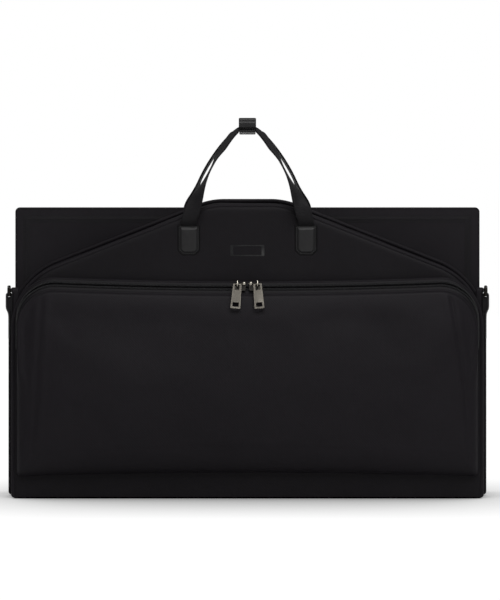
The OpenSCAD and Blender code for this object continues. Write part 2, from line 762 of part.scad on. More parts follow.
hook_z = front_h - 42;
hook_y = 0.2;
rivet_r = 3;
hook_eye_r = 7;
hook_bow_r = 20;
rivet_head_r = rivet_r + 2;
rivet_head_t = 0.8;
bracket_w = 46;
bracket_h = 22;
bracket_t = 2;
module hook_bracket() {
  color(steel) translate([0, -inner_y, hook_z]) difference() {
    plate(rounded(bracket_w, bracket_h, 5), 0, bracket_t);
    rotate([90, 0, 0]) cylinder(h = 4 * bracket_t, r = rivet_r + running, center = true, $fn = 32);
  }
}

module hook_rivet() {
  head_y = hook_y + hook_d / 2 + fit;
  color(steel) translate([0, 0, hook_z]) {
    translate([0, head_y, 0]) rotate([90, 0, 0]) cylinder(h = head_y + inner_y, r = rivet_r, $fn = 32);
    translate([0, head_y + rivet_head_t, 0]) rotate([90, 0, 0])
      cylinder(h = rivet_head_t, r = rivet_head_r, $fn = 32);
  }
}

// A flattened eye, a straight shank and a bow of a little over half a circle that ends in a ball
module hanging_hook() {
  bow_z = -hook_reach + hook_bow_r + hook_d / 2;
  shank = -bow_z - hook_eye_r + 1;
  tip = 35;
  color(steel) translate([0, hook_y, hook_z]) {
    rotate([90, 0, 0]) difference() {
      cylinder(h = hook_d - 0.6, r = hook_eye_r, center = true, $fn = 48);
      cylinder(h = hook_d + 2, r = rivet_r + running, center = true, $fn = 32);
    }
    translate([0, 0, -hook_eye_r + 1 - shank]) cylinder(h = shank, d = hook_d, $fn = 32);
    translate([hook_bow_r, 0, bow_z]) {
      rotate([90, 0, 0]) rotate([0, 0, -180]) rotate_extrude(angle = 180 + tip, $fn = 64)
        translate([hook_bow_r, 0]) circle(d = hook_d, $fn = 24);
      translate([hook_bow_r * cos(tip), 0, hook_bow_r * sin(tip)]) sphere(d = hook_d + 1, $fn = 24);
    }
  }
}

// What the bag holds inside

// Two cheeks on the board carry a bar for coat hangers
bar_r = 4;
bar_len = 90;
bar_y = -inner_y - half_d / 2;
bar_z = hook_z - 4;
cheek_t = 3;
cheek_r = 8;
bar_foot_t = 2;
module hanger_bracket() {
  color(steel) difference() {
    union() {
      translate([0, -board_in_y, bar_z])
        plate(rounded(bar_len + 2 * cheek_t + 10, 2 * cheek_r + 4, 3), 0, bar_foot_t);
      for (e = [-1, 1])
        translate([e * (bar_len + cheek_t) / 2 - cheek_t / 2, -board_in_y, bar_z - cheek_r])
          cube([cheek_t, board_in_y + bar_y + cheek_r, 2 * cheek_r]);
    }
    translate([0, bar_y, bar_z]) rotate([0, 90, 0])
      cylinder(h = bar_len + 20, r = bar_r + running, center = true, $fn = 32);
  }
}

module hanger_bar() {
  color(steel) translate([0, bar_y, bar_z]) rotate([0, 90, 0])
    cylinder(h = bar_len + 2 * cheek_t, r = bar_r, center = true, $fn = 32);
}

// A strap across the skirt half that holds the clothes flat, with its buckle
strap_band_w = 25;
strap_band_t = 1.5;
strap_band_z = 190;
buckle_w = 34;
buckle_h = strap_band_w + 8;
buckle_t = 4;
strap_end = 8;
module garment_strap() {
  reach = rear_w / 2 - panel_in - wall - strap_end;
  color(cloth_black) translate([-reach, board_in_y - strap_band_t, strap_band_z])
    cube([2 * reach, strap_band_t, strap_band_w]);
}

module strap_buckle() {
  color(leather_black) translate([0, board_in_y - strap_band_t, strap_band_z + strap_band_w / 2])
    plate(rounded(buckle_w, buckle_h, 4), -buckle_t, 0);
}

base_panel();
welt(-1);  // front_welt
welt(1);  // rear_welt
front_panel();
front_board();
front_gusset();
front_flap();
front_main_zip();
front_piping();
front_rim_piping();
color(leather_black) patches(front_patch_top);  // front_handle_patches
badge_plate();
pocket_shell();
tape(-1);  // pocket_upper_tape
tape(1);  // pocket_lower_tape
teeth_row(-1);  // pocket_upper_teeth
teeth_row(1);  // pocket_lower_teeth
zip_slider(-1);  // zip_slider_left
zip_slider(1);  // zip_slider_right
zip_pull(-1);  // zip_pull_left
zip_pull(1);  // zip_pull_right
side_tab(-1);  // side_tab_left
side_tab(1);  // side_tab_right
d_ring(-1);  // d_ring_left
d_ring(1);  // d_ring_right
color(cloth_black) webbing(front_patch_top, front_leg);  // front_handle_strap
color(leather_black) wrap_half(front_leg);  // front_wrap
color(steel) wrap_magnet();  // front_wrap_magnet
hook_bracket();
hook_rivet();
hanging_hook();
hanger_bracket();
hanger_bar();
rear_panel();
rear_board();
rear_gusset();
rear_flap();
rear_main_zip();
rear_piping();
rear_rim_piping();
color(leather_black) mirror([0, 1, 0]) patches(rear_patch_top);  // rear_handle_patches
color(cloth_black) mirror([0, 1, 0]) webbing(rear_patch_top, rear_leg);  // rear_handle_strap
color(leather_black) mirror([0, 1, 0]) wrap_half(rear_leg);  // rear_wrap
color(steel) mirror([0, 1, 0]) wrap_magnet();  // rear_wrap_magnet
garment_strap();
strap_buckle();
main_zip_slider(-1);  // main_zip_slider_left
main_zip_slider(1);  // main_zip_slider_right
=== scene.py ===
import bmesh
import bpy
import math
import numpy as np
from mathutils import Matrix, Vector


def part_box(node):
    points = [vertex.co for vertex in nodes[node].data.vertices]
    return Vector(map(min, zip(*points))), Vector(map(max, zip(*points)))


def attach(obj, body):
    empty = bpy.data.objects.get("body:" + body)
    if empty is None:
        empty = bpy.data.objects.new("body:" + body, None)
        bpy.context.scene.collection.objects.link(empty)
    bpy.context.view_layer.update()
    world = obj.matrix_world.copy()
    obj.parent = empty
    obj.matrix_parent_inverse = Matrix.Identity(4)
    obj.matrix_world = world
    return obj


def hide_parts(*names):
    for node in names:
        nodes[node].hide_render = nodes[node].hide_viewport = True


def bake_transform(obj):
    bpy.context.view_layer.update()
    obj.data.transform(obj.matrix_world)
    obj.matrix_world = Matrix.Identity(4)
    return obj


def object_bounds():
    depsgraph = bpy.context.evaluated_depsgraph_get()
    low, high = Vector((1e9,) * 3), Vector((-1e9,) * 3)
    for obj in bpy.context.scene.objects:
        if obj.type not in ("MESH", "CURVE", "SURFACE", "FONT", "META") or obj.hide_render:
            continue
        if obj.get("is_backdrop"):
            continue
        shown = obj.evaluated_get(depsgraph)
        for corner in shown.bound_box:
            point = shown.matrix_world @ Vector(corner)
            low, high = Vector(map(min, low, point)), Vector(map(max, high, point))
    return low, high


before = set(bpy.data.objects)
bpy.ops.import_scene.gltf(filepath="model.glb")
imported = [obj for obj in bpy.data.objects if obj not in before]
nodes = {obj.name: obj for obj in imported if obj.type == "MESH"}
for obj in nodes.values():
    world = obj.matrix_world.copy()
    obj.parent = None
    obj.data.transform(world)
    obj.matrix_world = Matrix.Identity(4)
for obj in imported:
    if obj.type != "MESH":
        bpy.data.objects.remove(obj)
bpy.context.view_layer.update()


# Bottom panel
# A padded strip of black ballistic cloth over a board, sewn between the welts of the two folds.
# The folded bag stands on it, so it is flat underneath and a little crowned between its seams.

mm = 0.001


def give(thing, **values):
    """Sets the named values of a thing, and gives it back."""
    for key, value in values.items():
        setattr(thing, key, value)
    return thing


def placed(name, data):
    """A new object in the scene, with the data of a mesh, a lamp or a camera."""
    piece = bpy.data.objects.new(name, data)
    bpy.context.scene.collection.objects.link(piece)
    return piece


def surface(name, points, uv=None, sharp=None):
    """A mesh over one or more grids of points, of shape (..., rows, columns, 3), with a quad for each
    cell. A closed form repeats its first row or column, and doubles are merged. The UV map holds metres
    along the columns and rows, summed from point to point, unless uv gives them."""
    rows, columns = points.shape[-3:-1]
    points = points.reshape(-1, rows, columns, 3)
    if uv is None:
        across = np.linalg.norm(np.diff(points, axis=2), axis=3)
        down = np.linalg.norm(np.diff(points, axis=1), axis=3)
        uv = np.stack([np.pad(across, ((0, 0), (0, 0), (1, 0))).cumsum(2),
                       np.pad(down, ((0, 0), (1, 0), (0, 0))).cumsum(1)], 3)
    index = np.arange(points[..., 0].size).reshape(points.shape[:3])
    quads = np.stack([index[:, :-1, :-1], index[:, :-1, 1:], index[:, 1:, 1:], index[:, 1:, :-1]], 3)
    mesh = bpy.data.meshes.new(name)
    mesh.from_pydata(points.reshape(-1, 3), [], quads.reshape(-1, 4))
    layer = mesh.uv_layers.new(name="weave")
    layer.data.foreach_set("uv", uv.reshape(-1, 2)[quads].astype(np.float32).ravel())
    work = bmesh.new()
    work.from_mesh(mesh)
    bmesh.ops.remove_doubles(work, verts=work.verts, dist=1e-6)
    bmesh.ops.dissolve_degenerate(work, edges=work.edges, dist=1e-7)
    bmesh.ops.recalc_face_normals(work, faces=work.faces)
    work.to_mesh(mesh)
    work.free()
    mesh.shade_smooth()
    if sharp:
        mesh.set_sharp_from_angle(angle=math.radians(sharp))
    return placed(name, mesh)


def paint(piece, material):
    """Gives a piece one material alone."""
    piece.data.materials.clear()
    piece.data.materials.append(material)


def fit(piece, body, slot, material, *replaced):
    """Gives a piece its material, and sets it on the body that carries it."""
    paint(piece, material)
    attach(piece, body)
    if replaced:
        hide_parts(*replaced)
    return piece


def feed(tree, made, inputs):
    """Links the inputs of a shader node to sockets, or sets them to values."""
    for key, value in inputs.items():
        if isinstance(value, bpy.types.NodeSocket):
            tree.links.new(value, made.inputs[key])
        else:
            made.inputs[key].default_value = value


def node(tree, kind, inputs=None, **settings):
    """A shader node of a kind, with its settings and its inputs."""
    made = give(tree.nodes.new("ShaderNode" + kind), **settings)
    feed(tree, made, inputs or {})
    return made


def math_node(tree, operation, *values):
    """The result of a sum or other operation on sockets and values."""
    return node(tree, "Math", dict(enumerate(values)), operation=operation).outputs[0]


def mixed(tree, amount, first, second):
    """The colour between two others: the first where the amount is 0, the second where it is 1."""
    return node(tree, "Mix", {0: amount, 6: first, 7: second}, data_type="RGBA").outputs[2]


def ranged(tree, value, low, high, first=0.0, last=1.0):
    """A value carried over in proportion: low where it is first, high where it is last."""
    return node(tree, "MapRange", {0: value, 1: first, 2: last, 3: low, 4: high}).outputs[0]


def own_place(tree):
    """Places in the piece's own frame."""
    return node(tree, "TexCoord").outputs["Object"]


def noise(tree, scale, detail=2.0, place=None):
    """Soft noise between 0 and 1, over the piece's own frame unless another place is given."""
    place = own_place(tree) if place is None else place
    return node(tree, "TexNoise", {"Vector": place, "Scale": scale, "Detail": detail}).outputs[0]


def bumped(tree, height, strength, depth):
    """The normal of a surface raised by a height between 0 and 1, times a depth."""
    raised = {"Height": height, "Strength": strength, "Distance": depth}
    return node(tree, "Bump", raised).outputs[0]


def blank(name):
    """A material with an empty Principled shader: the material, its tree and its shader."""
    material = bpy.data.materials.new(name)
    material.use_nodes = True
    tree = material.node_tree
    return material, tree, tree.nodes["Principled BSDF"]


def group_of(name, inputs, outputs):
    """An empty node group with sockets of given names and kinds: the tree, what its input node gives and
    its output node."""
    tree = bpy.data.node_groups.new(name, "ShaderNodeTree")
    for way, sockets in (("INPUT", inputs), ("OUTPUT", outputs)):
        for socket, kind in sockets.items():
            tree.interface.new_socket(socket, in_out=way, socket_type="NodeSocket" + kind)
    return tree, tree.nodes.new("NodeGroupInput").outputs, tree.nodes.new("NodeGroupOutput")


# Plain weave: threads at right angles pass over and under in turn, so the height is the product of
# two sines. Fleck is the uneven thickness of the threads, drawn out along each of them.
weave, weave_in, weave_out = group_of(
    "plain_weave", {"Place": "Vector", "Threads": "Float"}, {"Height": "Float", "Fleck": "Float"})
threads = node(weave, "VectorMath", {0: weave_in["Place"], "Scale": weave_in["Threads"]},
               operation="SCALE").outputs[0]
axes = node(weave, "SeparateXYZ", {0: threads}).outputs
waves = [math_node(weave, "SINE", math_node(weave, "MULTIPLY", axes[k], math.pi)) for k in (0, 1)]
flecks = []
for stretch in ((0.9, 0.05, 1.0), (0.05, 0.9, 1.0)):
    along = node(weave, "VectorMath", {0: threads, 1: stretch}, operation="MULTIPLY").outputs[0]
    flecks.append(noise(weave, 1.0, place=along))
feed(weave, weave_out, {
    "Height": math_node(weave, "MULTIPLY_ADD", math_node(weave, "MULTIPLY", *waves), 0.5, 0.5),
    "Fleck": math_node(weave, "MULTIPLY", *flecks)})


def cloth(name, dark, light, per_metre, roughness, sheen, depth):
    """Woven cloth: the weave sets the bump and the colour of each thread, and a broad soft noise the
    paler and darker places that handling leaves."""
    material, tree, shader = blank(name)
    place = node(tree, "UVMap", uv_map="weave").outputs[0]
    woven = node(tree, "Group", {"Place": place, "Threads": per_metre}, node_tree=weave)
    height, fleck = woven.outputs["Height"], woven.outputs["Fleck"]
    tone = math_node(tree, "ADD", math_node(tree, "MULTIPLY", height, 0.5), fleck)
    tone = math_node(tree, "MULTIPLY", tone, math_node(tree, "ADD", noise(tree, 7.0, 3.0), 0.5))
    feed(tree, shader, {
        "Base Color": mixed(tree, tone, dark, light),
        "Roughness": ranged(tree, fleck, roughness - 0.1, roughness + 0.1),
        "Normal": bumped(tree, height, 0.6, depth),
        "Specular IOR Level": 0.11,
        "Sheen Weight": sheen,
        "Sheen Roughness": 0.45,
        "Sheen Tint": (0.9, 0.88, 0.95, 1)})
    return material


ballistic = cloth("ballistic_cloth", (0.0036, 0.0029, 0.0039, 1), (0.0108, 0.0092, 0.0116, 1),
                  1000, 0.6, 0.01, 0.25 * mm)


def rounded_loop(width, height, radius, corner=6, straight=2):
    """Closed outline of a rectangle with round corners, of shape (points, 2), its first point repeated.
    Each straight side is divided, so that smooth shading stays at the corners."""
    quarter = np.linspace(0, np.pi / 2, corner)
    points = []
    for k, (sx, sy) in enumerate(((1, 1), (-1, 1), (-1, -1), (1, -1))):
        angle = quarter + k * np.pi / 2
        points.append(np.stack([sx * (width / 2 - radius) + radius * np.cos(angle),
                                sy * (height / 2 - radius) + radius * np.sin(angle)], 1))
    share = np.linspace(0, 1, straight + 2)[1:-1, None]
    sides = [a[-1] + (b[0] - a[-1]) * share for a, b in zip(points, points[1:] + points[:1])]
    ring = np.concatenate([part for pair in zip(points, sides) for part in pair])
    return np.concatenate([ring, ring[:1]])


def xyz(x, y, z):
    """Points of shape (..., 3) from coordinates, each an array or one value for all."""
    return np.stack(np.broadcast_arrays(x, y, z), -1)


def capped(grid, rings):
    """A grid of rings with each end closed by a row at the middle of its ring."""
    ends = [np.broadcast_to(rings[k].mean(0), grid[:1].shape) for k in (0, -1)]
    return np.concatenate([ends[0], grid, ends[1]])


def carried(path, across, out, loop):
    """A loop carried along a path: its first measure goes along across, its second along out, each one
    vector or one for each point. The ends are closed. Shape (path points + 2, loop points, 3)."""
    across, out = (np.atleast_2d(way)[:, None] for way in (across, out))
    grid = path[:, None] + loop[..., :1] * across + loop[..., 1:] * out
    return capped(grid, grid[:, :-1])


def ripple(x, z, waves):
    """A sum of sine waves over a panel: each has a length in mm, a direction in degrees, a phase and a
    height."""
    total = 0
    for length, turn, phase, height in waves:
        run = x * np.cos(np.radians(turn)) + z * np.sin(np.radians(turn))
        total = total + height * np.sin(2 * np.pi / (length * mm) * run + phase)
    return total


base_low, base_high = np.array(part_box("base_panel"))
base_size = base_high - base_low
base_crown_h = 0.9 * mm
base_waves = [(83, 10, 0.4, 0.25 * mm), (47, -20, 2.1, 0.15 * mm)]
base_loop = rounded_loop(base_size[1], base_size[2], 1.6 * mm, straight=14)
base_crown = 1 - (2 * base_loop[:, 0] / base_size[1]) ** 2
base_x = np.linspace(base_low[0], base_high[0], 140)
base_path = xyz(base_x, (base_low[1] + base_high[1]) / 2, base_size[2] / 2)
base_grid = carried(base_path, (0, 1, 0), (0, 0, 1), base_loop)
base_upper = (base_loop[:, 1] > 0) * np.clip(base_crown, 0, 1)
base_grid[..., 2] += base_upper * (base_crown_h + ripple(base_grid[..., 0], base_grid[..., 1], base_waves))
base_panel = fit(surface("base_panel_cloth", base_grid), "base", "shell_cloth", ballistic, "base_panel")


# Welts
# The cloth-covered cords of the two folds. Each is sewn into the seam between the bottom panel and one
# half, and the half turns about it; the cover is drawn tight, with a pucker at every stitch.

cord_sides = 14
welt_end = 5.5 * mm
welt_pucker = 3.4 * mm
pucker_deep = 0.03
angle = np.linspace(0, 2 * np.pi, cord_sides + 1)
for side in ("front", "rear"):
    low, high = np.array(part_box(side + "_welt"))
    middle = (low + high) / 2
    welt_x = np.linspace(low[0] + welt_end, high[0] - welt_end, 420)
    pucker = 1 - pucker_deep * np.abs(np.sin(np.pi * welt_x / welt_pucker))
    pucker[[0, -1]] = 0.7
    loop = (high[2] - low[2]) / 2 * np.stack([np.cos(angle), np.sin(angle)], 1) * pucker[:, None, None]
    grid = carried(xyz(welt_x, middle[1], middle[2]), (0, 1, 0), (0, 0, 1), loop)
    grid[..., 2] = np.maximum(grid[..., 2], low[2])
    fit(surface(side + "_welt_cord", grid), "base", "shell_cloth", ballistic, side + "_welt")


# Boards
# Stiff black sheets behind the outer cloth of each half. They keep the halves flat and stay inside.


def speckled(name, scale, dark, light, rough, gloss=0.5):
    """Plain hard stuff: one fine noise sets its colour and its roughness, each between two values."""
    material, tree, shader = blank(name)
    grain = noise(tree, scale)
    feed(tree, shader, {
        "Base Color": mixed(tree, grain, dark, light),
        "Roughness": ranged(tree, grain, *rough),
        "Specular IOR Level": gloss})
    return material


board = speckled("board_sheet", 900.0, (0.05, 0.05, 0.05, 1), (0.1, 0.1, 0.1, 1), (0.7, 0.7))
for name in ("front_board", "rear_board"):
    paint(nodes[name], board)


# Outer panels
# The shoulder half's front and the skirt half's back: single pieces of ballistic cloth, cut to the
# outline and sewn into the piping. They are drawn in at the seam and swell a little between.

half_d = 46 * mm
inner_y = 5 * mm
outer_y = inner_y + half_d
fold_z = 6.3 * mm
bag_w = 2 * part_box("front_rim_piping")[1][0]
front_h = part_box("front_rim_piping")[1][2]
rear_w = 2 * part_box("rear_rim_piping")[1][0]
rear_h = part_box("rear_rim_piping")[1][2]
shoulder_r = 95 * mm
shoulder_z = 212 * mm
neck_r = 90 * mm
neck_x = 30 * mm
skirt_r = 6 * mm
hem_r = 4 * mm
rim_in = 5.3 * mm
panel_in = 13.3 * mm


def at(x, z, inset):
    """Points (insets, 2) at x and z."""
    return np.stack([np.broadcast_to(x, inset.shape), np.broadcast_to(z, inset.shape)], 1)


def line(start, end, count):
    """Straight stretches between points of shape (insets, 2): shape (count, insets, 2)."""
    return start + (end - start) * np.linspace(0, 1, count)[:, None, None]


def arc(centre, radius, first, last, count):
    """Round stretches about centres (insets, 2), between two angles in degrees."""
    angle = np.radians(np.linspace(first, last, count))[:, None]
    return centre + np.stack([radius * np.cos(angle), radius * np.sin(angle)], 2)


def whole(parts):
    """Joins the stretches of a left half end to end, and adds the right half as its mirror image."""
    left = np.concatenate([parts[0]] + [part[1:] for part in parts[1:]])
    return np.concatenate([left, (left[::-1] * [-1, 1])[1:]])


def shoulder_outline(inset, closed=True, hem_z=fold_z):
    """The shoulder half's outline drawn in by each inset: straight sides, round shoulders, slopes that
    touch the shoulder and neck circles, a round neck and a flat top. Shape (points, insets, 2)."""
    inset = np.atleast_1d(inset).astype(float)
    edge = bag_w / 2 - inset
    shoulder = at(shoulder_r - bag_w / 2, shoulder_z, inset)
    neck = at(-neck_x, front_h - neck_r, inset)
    dx, dz = neck[0] - shoulder[0]
    slope = np.degrees(np.arccos((shoulder_r - neck_r) / np.hypot(dx, dz)) - np.arctan2(dx, dz))
    hem = arc(at(hem_r - edge, hem_z + hem_r, inset), hem_r, 270, 180, 7)
    ball = arc(shoulder, shoulder_r - inset, 180, 90 + slope, 60)
    nape = arc(neck, neck_r - inset, 90 + slope, 90, 26)
    parts = [hem, line(hem[-1], ball[0], 110), ball, line(ball[-1], nape[0], 90), nape,
             line(nape[-1], at(0, front_h - inset, inset), 16)]
    return whole(([line(at(0, hem_z, inset), hem[0], 150)] if closed else []) + parts)


def skirt_outline(inset, closed=True, hem_z=fold_z):
    """The skirt half's outline drawn in by each inset: straight sides, small round corners and a flat
    top. Shape (points, insets, 2)."""
    inset = np.atleast_1d(inset).astype(float)
    edge = rear_w / 2 - inset
    radius = np.maximum(skirt_r - inset, 1.5 * mm)
    hem = arc(at(hem_r - edge, hem_z + hem_r, inset), hem_r, 270, 180, 7)
    corner = arc(at(radius - edge, rear_h - inset - radius, inset), radius, 180, 90, 14)
    parts = [hem, line(hem[-1], corner[0], 180), corner,
             line(corner[-1], at(0, rear_h - inset, inset), 140)]
    return whole(([line(at(0, hem_z, inset), hem[0], 150)] if closed else []) + parts)


outlines = {"front": shoulder_outline, "rear": skirt_outline}
facing = {"front": -1, "rear": 1}


def panel_rows(outline, inset, columns):
    """A grid over the inside of an outline: one row for each height, from the hem to the neck, each as
    wide as the outline there. Gives x, z and the distance to the nearest edge, each (rows, columns)."""
    edge = outline(inset, closed=False)[:, 0]
    edge = edge[:np.argmax(edge[:, 1] > edge[:, 1].max() - 1e-7) + 1]
    run = np.gradient(edge, axis=0)
    steep = np.abs(run[:, 1]) / np.linalg.norm(run, axis=1)
    share = np.sin(np.pi / 2 * np.linspace(-1, 1, columns))
    x = -edge[:, :1] * share
    z = np.repeat(edge[:, 1:], columns, 1)
    inside = np.minimum((-edge[:, :1] - np.abs(x)) * steep[:, None], z.max() - z)
    return x, z, inside


def thicken(piece, thickness, offset=-1):
    """Gives a sheet its thickness: all behind its face, or half on each side where the offset is 0."""
    give(piece.modifiers.new("thickness", "SOLIDIFY"), thickness=thickness, offset=offset)


# The same cloth, darker for the panels and gussets: painted shade, as these faces take less light than the
# padded pocket
shaded_cloth = cloth("shaded_ballistic_cloth", (0.0025, 0.002, 0.0027, 1), (0.0082, 0.007, 0.0088, 1),
                   1000, 0.62, 0.005, 0.2 * mm)

# The hem of each panel goes round the front of its welt, about the same axis
fold_y = outer_y - 3 * mm
welt_z = 3 * mm
hug_r = 3.3 * mm
hem_rows = 8
panel_swell, swell_reach = 0.9 * mm, 35 * mm
tuck_depth, tuck_reach = 1.6 * mm, 2.2 * mm
patch_reach = 40 * mm
panel_waves = {
    "front": [(210, 65, 0.3, 0.45 * mm), (130, 20, 1.9, 0.3 * mm), (74, 80, 0.8, 0.15 * mm),
              (95, -35, 2.6, 0.25 * mm)],
    "rear": [(300, 60, 1.3, 0.7 * mm), (170, -25, 0.2, 0.4 * mm), (90, 85, 2.2, 0.2 * mm)],
}
for side, outline in outlines.items():
    x, z, inside = panel_rows(outline, panel_in - 0.8 * mm, 150)
    swell = panel_swell + ripple(x, z, panel_waves[side])
    swell *= 1 - np.exp(-np.minimum(inside, z - z.min()) / swell_reach)
    tuck = tuck_depth * np.exp(-inside / tuck_reach)
    patch_low, patch_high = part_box(side + "_handle_patches")
    from_patch = np.hypot(np.abs(x) - patch_high[0] + 14 * mm, z - (patch_low[2] + patch_high[2]) / 2)
    swell *= 1 - 0.6 * np.exp(-(from_patch / patch_reach) ** 4)
    y = outer_y + swell - tuck
    turned = np.radians(np.linspace(-42, 0, hem_rows))[:, None]
    x[:hem_rows] = x[hem_rows - 1]
    y[:hem_rows] = fold_y + hug_r * np.cos(turned) - tuck[hem_rows - 1]
    z[:hem_rows] = welt_z + hug_r * np.sin(turned)
    piece = surface(side + "_panel_cloth", xyz(x, facing[side] * y, z), uv=np.stack([x, z], 2))
    fit(piece, side + "_half", "shell_cloth", shaded_cloth, side + "_panel")
    thicken(piece, 1.4 * mm, 0)


# Side walls
# The gussets: one long strip for each half that runs round its sides, top and hem and flares towards
# the opening. It is lightly padded, so it swells between its two rows of piping.


def lengths(points):
    """Distances along a row of points from its first."""
    return np.pad(np.linalg.norm(np.diff(points, axis=0), axis=1), (1, 0)).cumsum()


wall_columns = 16
wall_swell = 2.4
wall_waves = [(190, 0, 0.5, 0.45), (67, 0, 1.0, 0.2), (31, 0, 2.0, 0.08)]
share = np.linspace(0, 1, wall_columns)
inset = panel_in + (rim_in - panel_in) * share
depth = outer_y - 1.5 * mm + (inner_y - outer_y + 2 * mm) * share
for side, outline in outlines.items():
    flat = outline(inset)
    grid = xyz(flat[..., 0], facing[side] * depth, flat[..., 1])
    length = lengths(flat[:, 0])
    swell = np.sin(np.pi * share) * (wall_swell + ripple(length, 0 * length, wall_waves)[:, None])
    grid[..., [0, 2]] += (outline(inset - 1 * mm) - flat) * swell[..., None]
    piece = surface(side + "_gusset_cloth", grid)
    fit(piece, side + "_half", "shell_cloth", shaded_cloth, side + "_gusset")
    thicken(piece, 1.6 * mm)


# Piping
# Four cloth-covered cords: round the outer panel and round the rim of each half. The cover's flat
# edge goes into the seam, and the cover puckers a little from stitch to stitch.

piping_r = 2.5 * mm
thin_piping_r = 1.7 * mm
piping_pucker = 6.8 * mm
piping_seam = 1.6 * mm
piping_foot = 0.8 * mm
turn = np.linspace(0, 2 * np.pi, 17)
tail = piping_seam * np.maximum(np.cos(turn + np.pi), 0) ** 6
for side, outline in outlines.items():
    for name, inset, depth in (("piping", panel_in - 2.8 * mm, outer_y - piping_r),
                               ("rim_piping", piping_r, inner_y + piping_r)):
        cord_r = thin_piping_r if (side, name) == ("rear", "rim_piping") else piping_r
        inwards = inset - piping_r + cord_r + (cord_r * -np.cos(turn) + tail)
        flat = outline(inwards, closed=False, hem_z=piping_foot)
        tight = 1 - pucker_deep * np.sin(np.pi * lengths(flat[:, 0]) / piping_pucker) ** 2
        across = depth + cord_r * np.sin(turn) * tight[:, None]
        grid = xyz(flat[..., 0], facing[side] * across, flat[..., 1])
        name = "%s_%s" % (side, name)
        fit(surface(name + "_cord", capped(grid, grid)), side + "_half", "shell_cloth", ballistic, name)


# Inner flaps
# The lining sheets that close the two halves towards the fold. They are stretched flat inside the rim
# and open with the main zip.

lining = cloth("lining_cloth", (0.0045, 0.0037, 0.0048, 1), (0.0125, 0.0108, 0.0133, 1),
               1900, 0.6, 0.01, 0.12 * mm)
flap_in = 2.6 * mm
flap_rim = 17 * mm
flap_sag, sag_reach = 2.5 * mm, 45 * mm
flap_waves = [(210, 75, 0.9, 1.1 * mm), (130, 15, 0.1, 1.0 * mm), (78, -40, 1.7, 0.4 * mm)]
for side, outline in outlines.items():
    x, z, inside = panel_rows(outline, flap_in, 110)
    z = np.maximum(z, fold_z + 2.8 * mm)
    inside = np.maximum(inside - flap_rim, 0)
    sag = flap_sag * (1 - np.exp(-inside / sag_reach))
    sag = sag + ripple(x, z, flap_waves) * (1 - np.exp(-inside / swell_reach))
    y = facing[side] * (inner_y + 0.5 * mm + np.maximum(sag, 0))
    piece = surface(side + "_flap_lining", xyz(x, y, z), uv=np.stack([x, z], 2))
    fit(piece, side + "_half", "lining", lining, side + "_flap")
    thicken(piece, 0.8 * mm, 0)


# Main zips
# A woven tape with a closed coil along its middle, sewn round the inner face of each half.


def picked(stations, length, points):
    """Measures at distances along a row of points, read between the points: shape (stations, measures)."""
    return np.stack([np.interp(stations, length, column) for column in points.T], 1)


tape_cloth = cloth("zip_tape_cloth", (0.004, 0.0036, 0.0043, 1), (0.0115, 0.0105, 0.0122, 1),
                   1600, 0.62, 0.01, 0.12 * mm)
main_zip_in = 10.47 * mm
main_zip_w = 9 * mm
main_zip_t = 0.35 * mm
coil_step = 0.55 * mm
tape_across = np.array([0, 0, 0.33, 0.36, 0.42, 0.5, 0.58, 0.64, 0.67, 1, 1, 0])
tape_height = np.array([0, 0.45, 0.5, 0.75, 0.95, 1, 0.95, 0.75, 0.5, 0.45, 0, 0])
coil_part = tape_height > 0.6
for side, outline in outlines.items():
    flat = outline(main_zip_in + main_zip_w * tape_across, closed=False)[6:-6]
    length = lengths(flat[:, 0])
    fine = np.linspace(0, length[-1], int(length[-1] / coil_step))
    x, z = (picked(fine, length, flat[..., k]) for k in (0, 1))
    notch = 1 - 0.3 * coil_part * (np.arange(len(fine)) % 3 == 0)[:, None]
    grid = xyz(x, facing[side] * (inner_y - main_zip_t * tape_height * notch), z)
    piece = surface(side + "_main_zip_chain", capped(grid, grid), sharp=40)
    fit(piece, side + "_half", "zip_tape", tape_cloth, side + "_main_zip")


# Pocket
# A large padded pocket on the shoulder half: a main panel with a side panel at each end, bound to the
# panel behind. It stands out furthest below its zip, and its cloth swells softly over what it holds.

pocket_half = bag_w / 2 - panel_in - 2 * mm
pocket_top = 273 * mm
pocket_z = 27 * mm
pocket_r = 48 * mm
pocket_foot_r = 5 * mm
zip_bow = 5 * mm
foot_bow = 4.5 * mm
edge_n, heel_n, side_n, bend_n = 80, 6, 50, 32


def pocket_ring(side_in, drop, rise, side_out, top_out):
    """Rings of the pocket, one for each set of measures: how far it draws in at the sides, drops at the
    top and rises at the foot, and how far it stands out at the sides and at the top. The foot and the
    top are bowed, and the corners are round. Shape (points, rings, 3)."""
    w = pocket_half - side_in
    r = pocket_r - side_in / 2
    top = pocket_top - drop
    x1 = w - r
    foot = pocket_z + rise
    hem = line(at(0, foot, w), at(pocket_foot_r - w, foot, w), edge_n)
    hem[..., 1] += foot_bow * (((w - pocket_foot_r) / w) ** 2 - (hem[..., 0] / w) ** 2)
    heel = arc(at(pocket_foot_r - w, foot + pocket_foot_r, w), pocket_foot_r, 270, 180, heel_n)
    ridge = line(at(-x1, top, w), at(0, top, w), edge_n)
    ridge[..., 1] += zip_bow * (ridge[..., 0] / (pocket_half - pocket_r)) ** 2
    bend = arc(at(-x1, ridge[0, :, 1] - r, w), r, 180, 90, bend_n)
    flat = whole([hem, heel, line(heel[-1], bend[0], side_n), bend, ridge])
    turned = np.concatenate([np.zeros(edge_n + heel_n + side_n - 2),
                             (1 - np.cos(np.linspace(0, np.pi, bend_n)[1:])) / 2, np.ones(edge_n - 1)])
    turned = np.concatenate([turned, turned[-2::-1]])[:, None]
    return xyz(flat[..., 0], -outer_y - side_out - (top_out - side_out) * turned, flat[..., 1])


def hump(value, middle, width):
    """A smooth rise of height 1 about a middle."""
    return np.exp(-((value - middle) / width) ** 2)


def eased(value):
    """A smooth step from 0 to 1."""
    value = np.clip(value, 0, 1)
    return value * value * (3 - 2 * value)


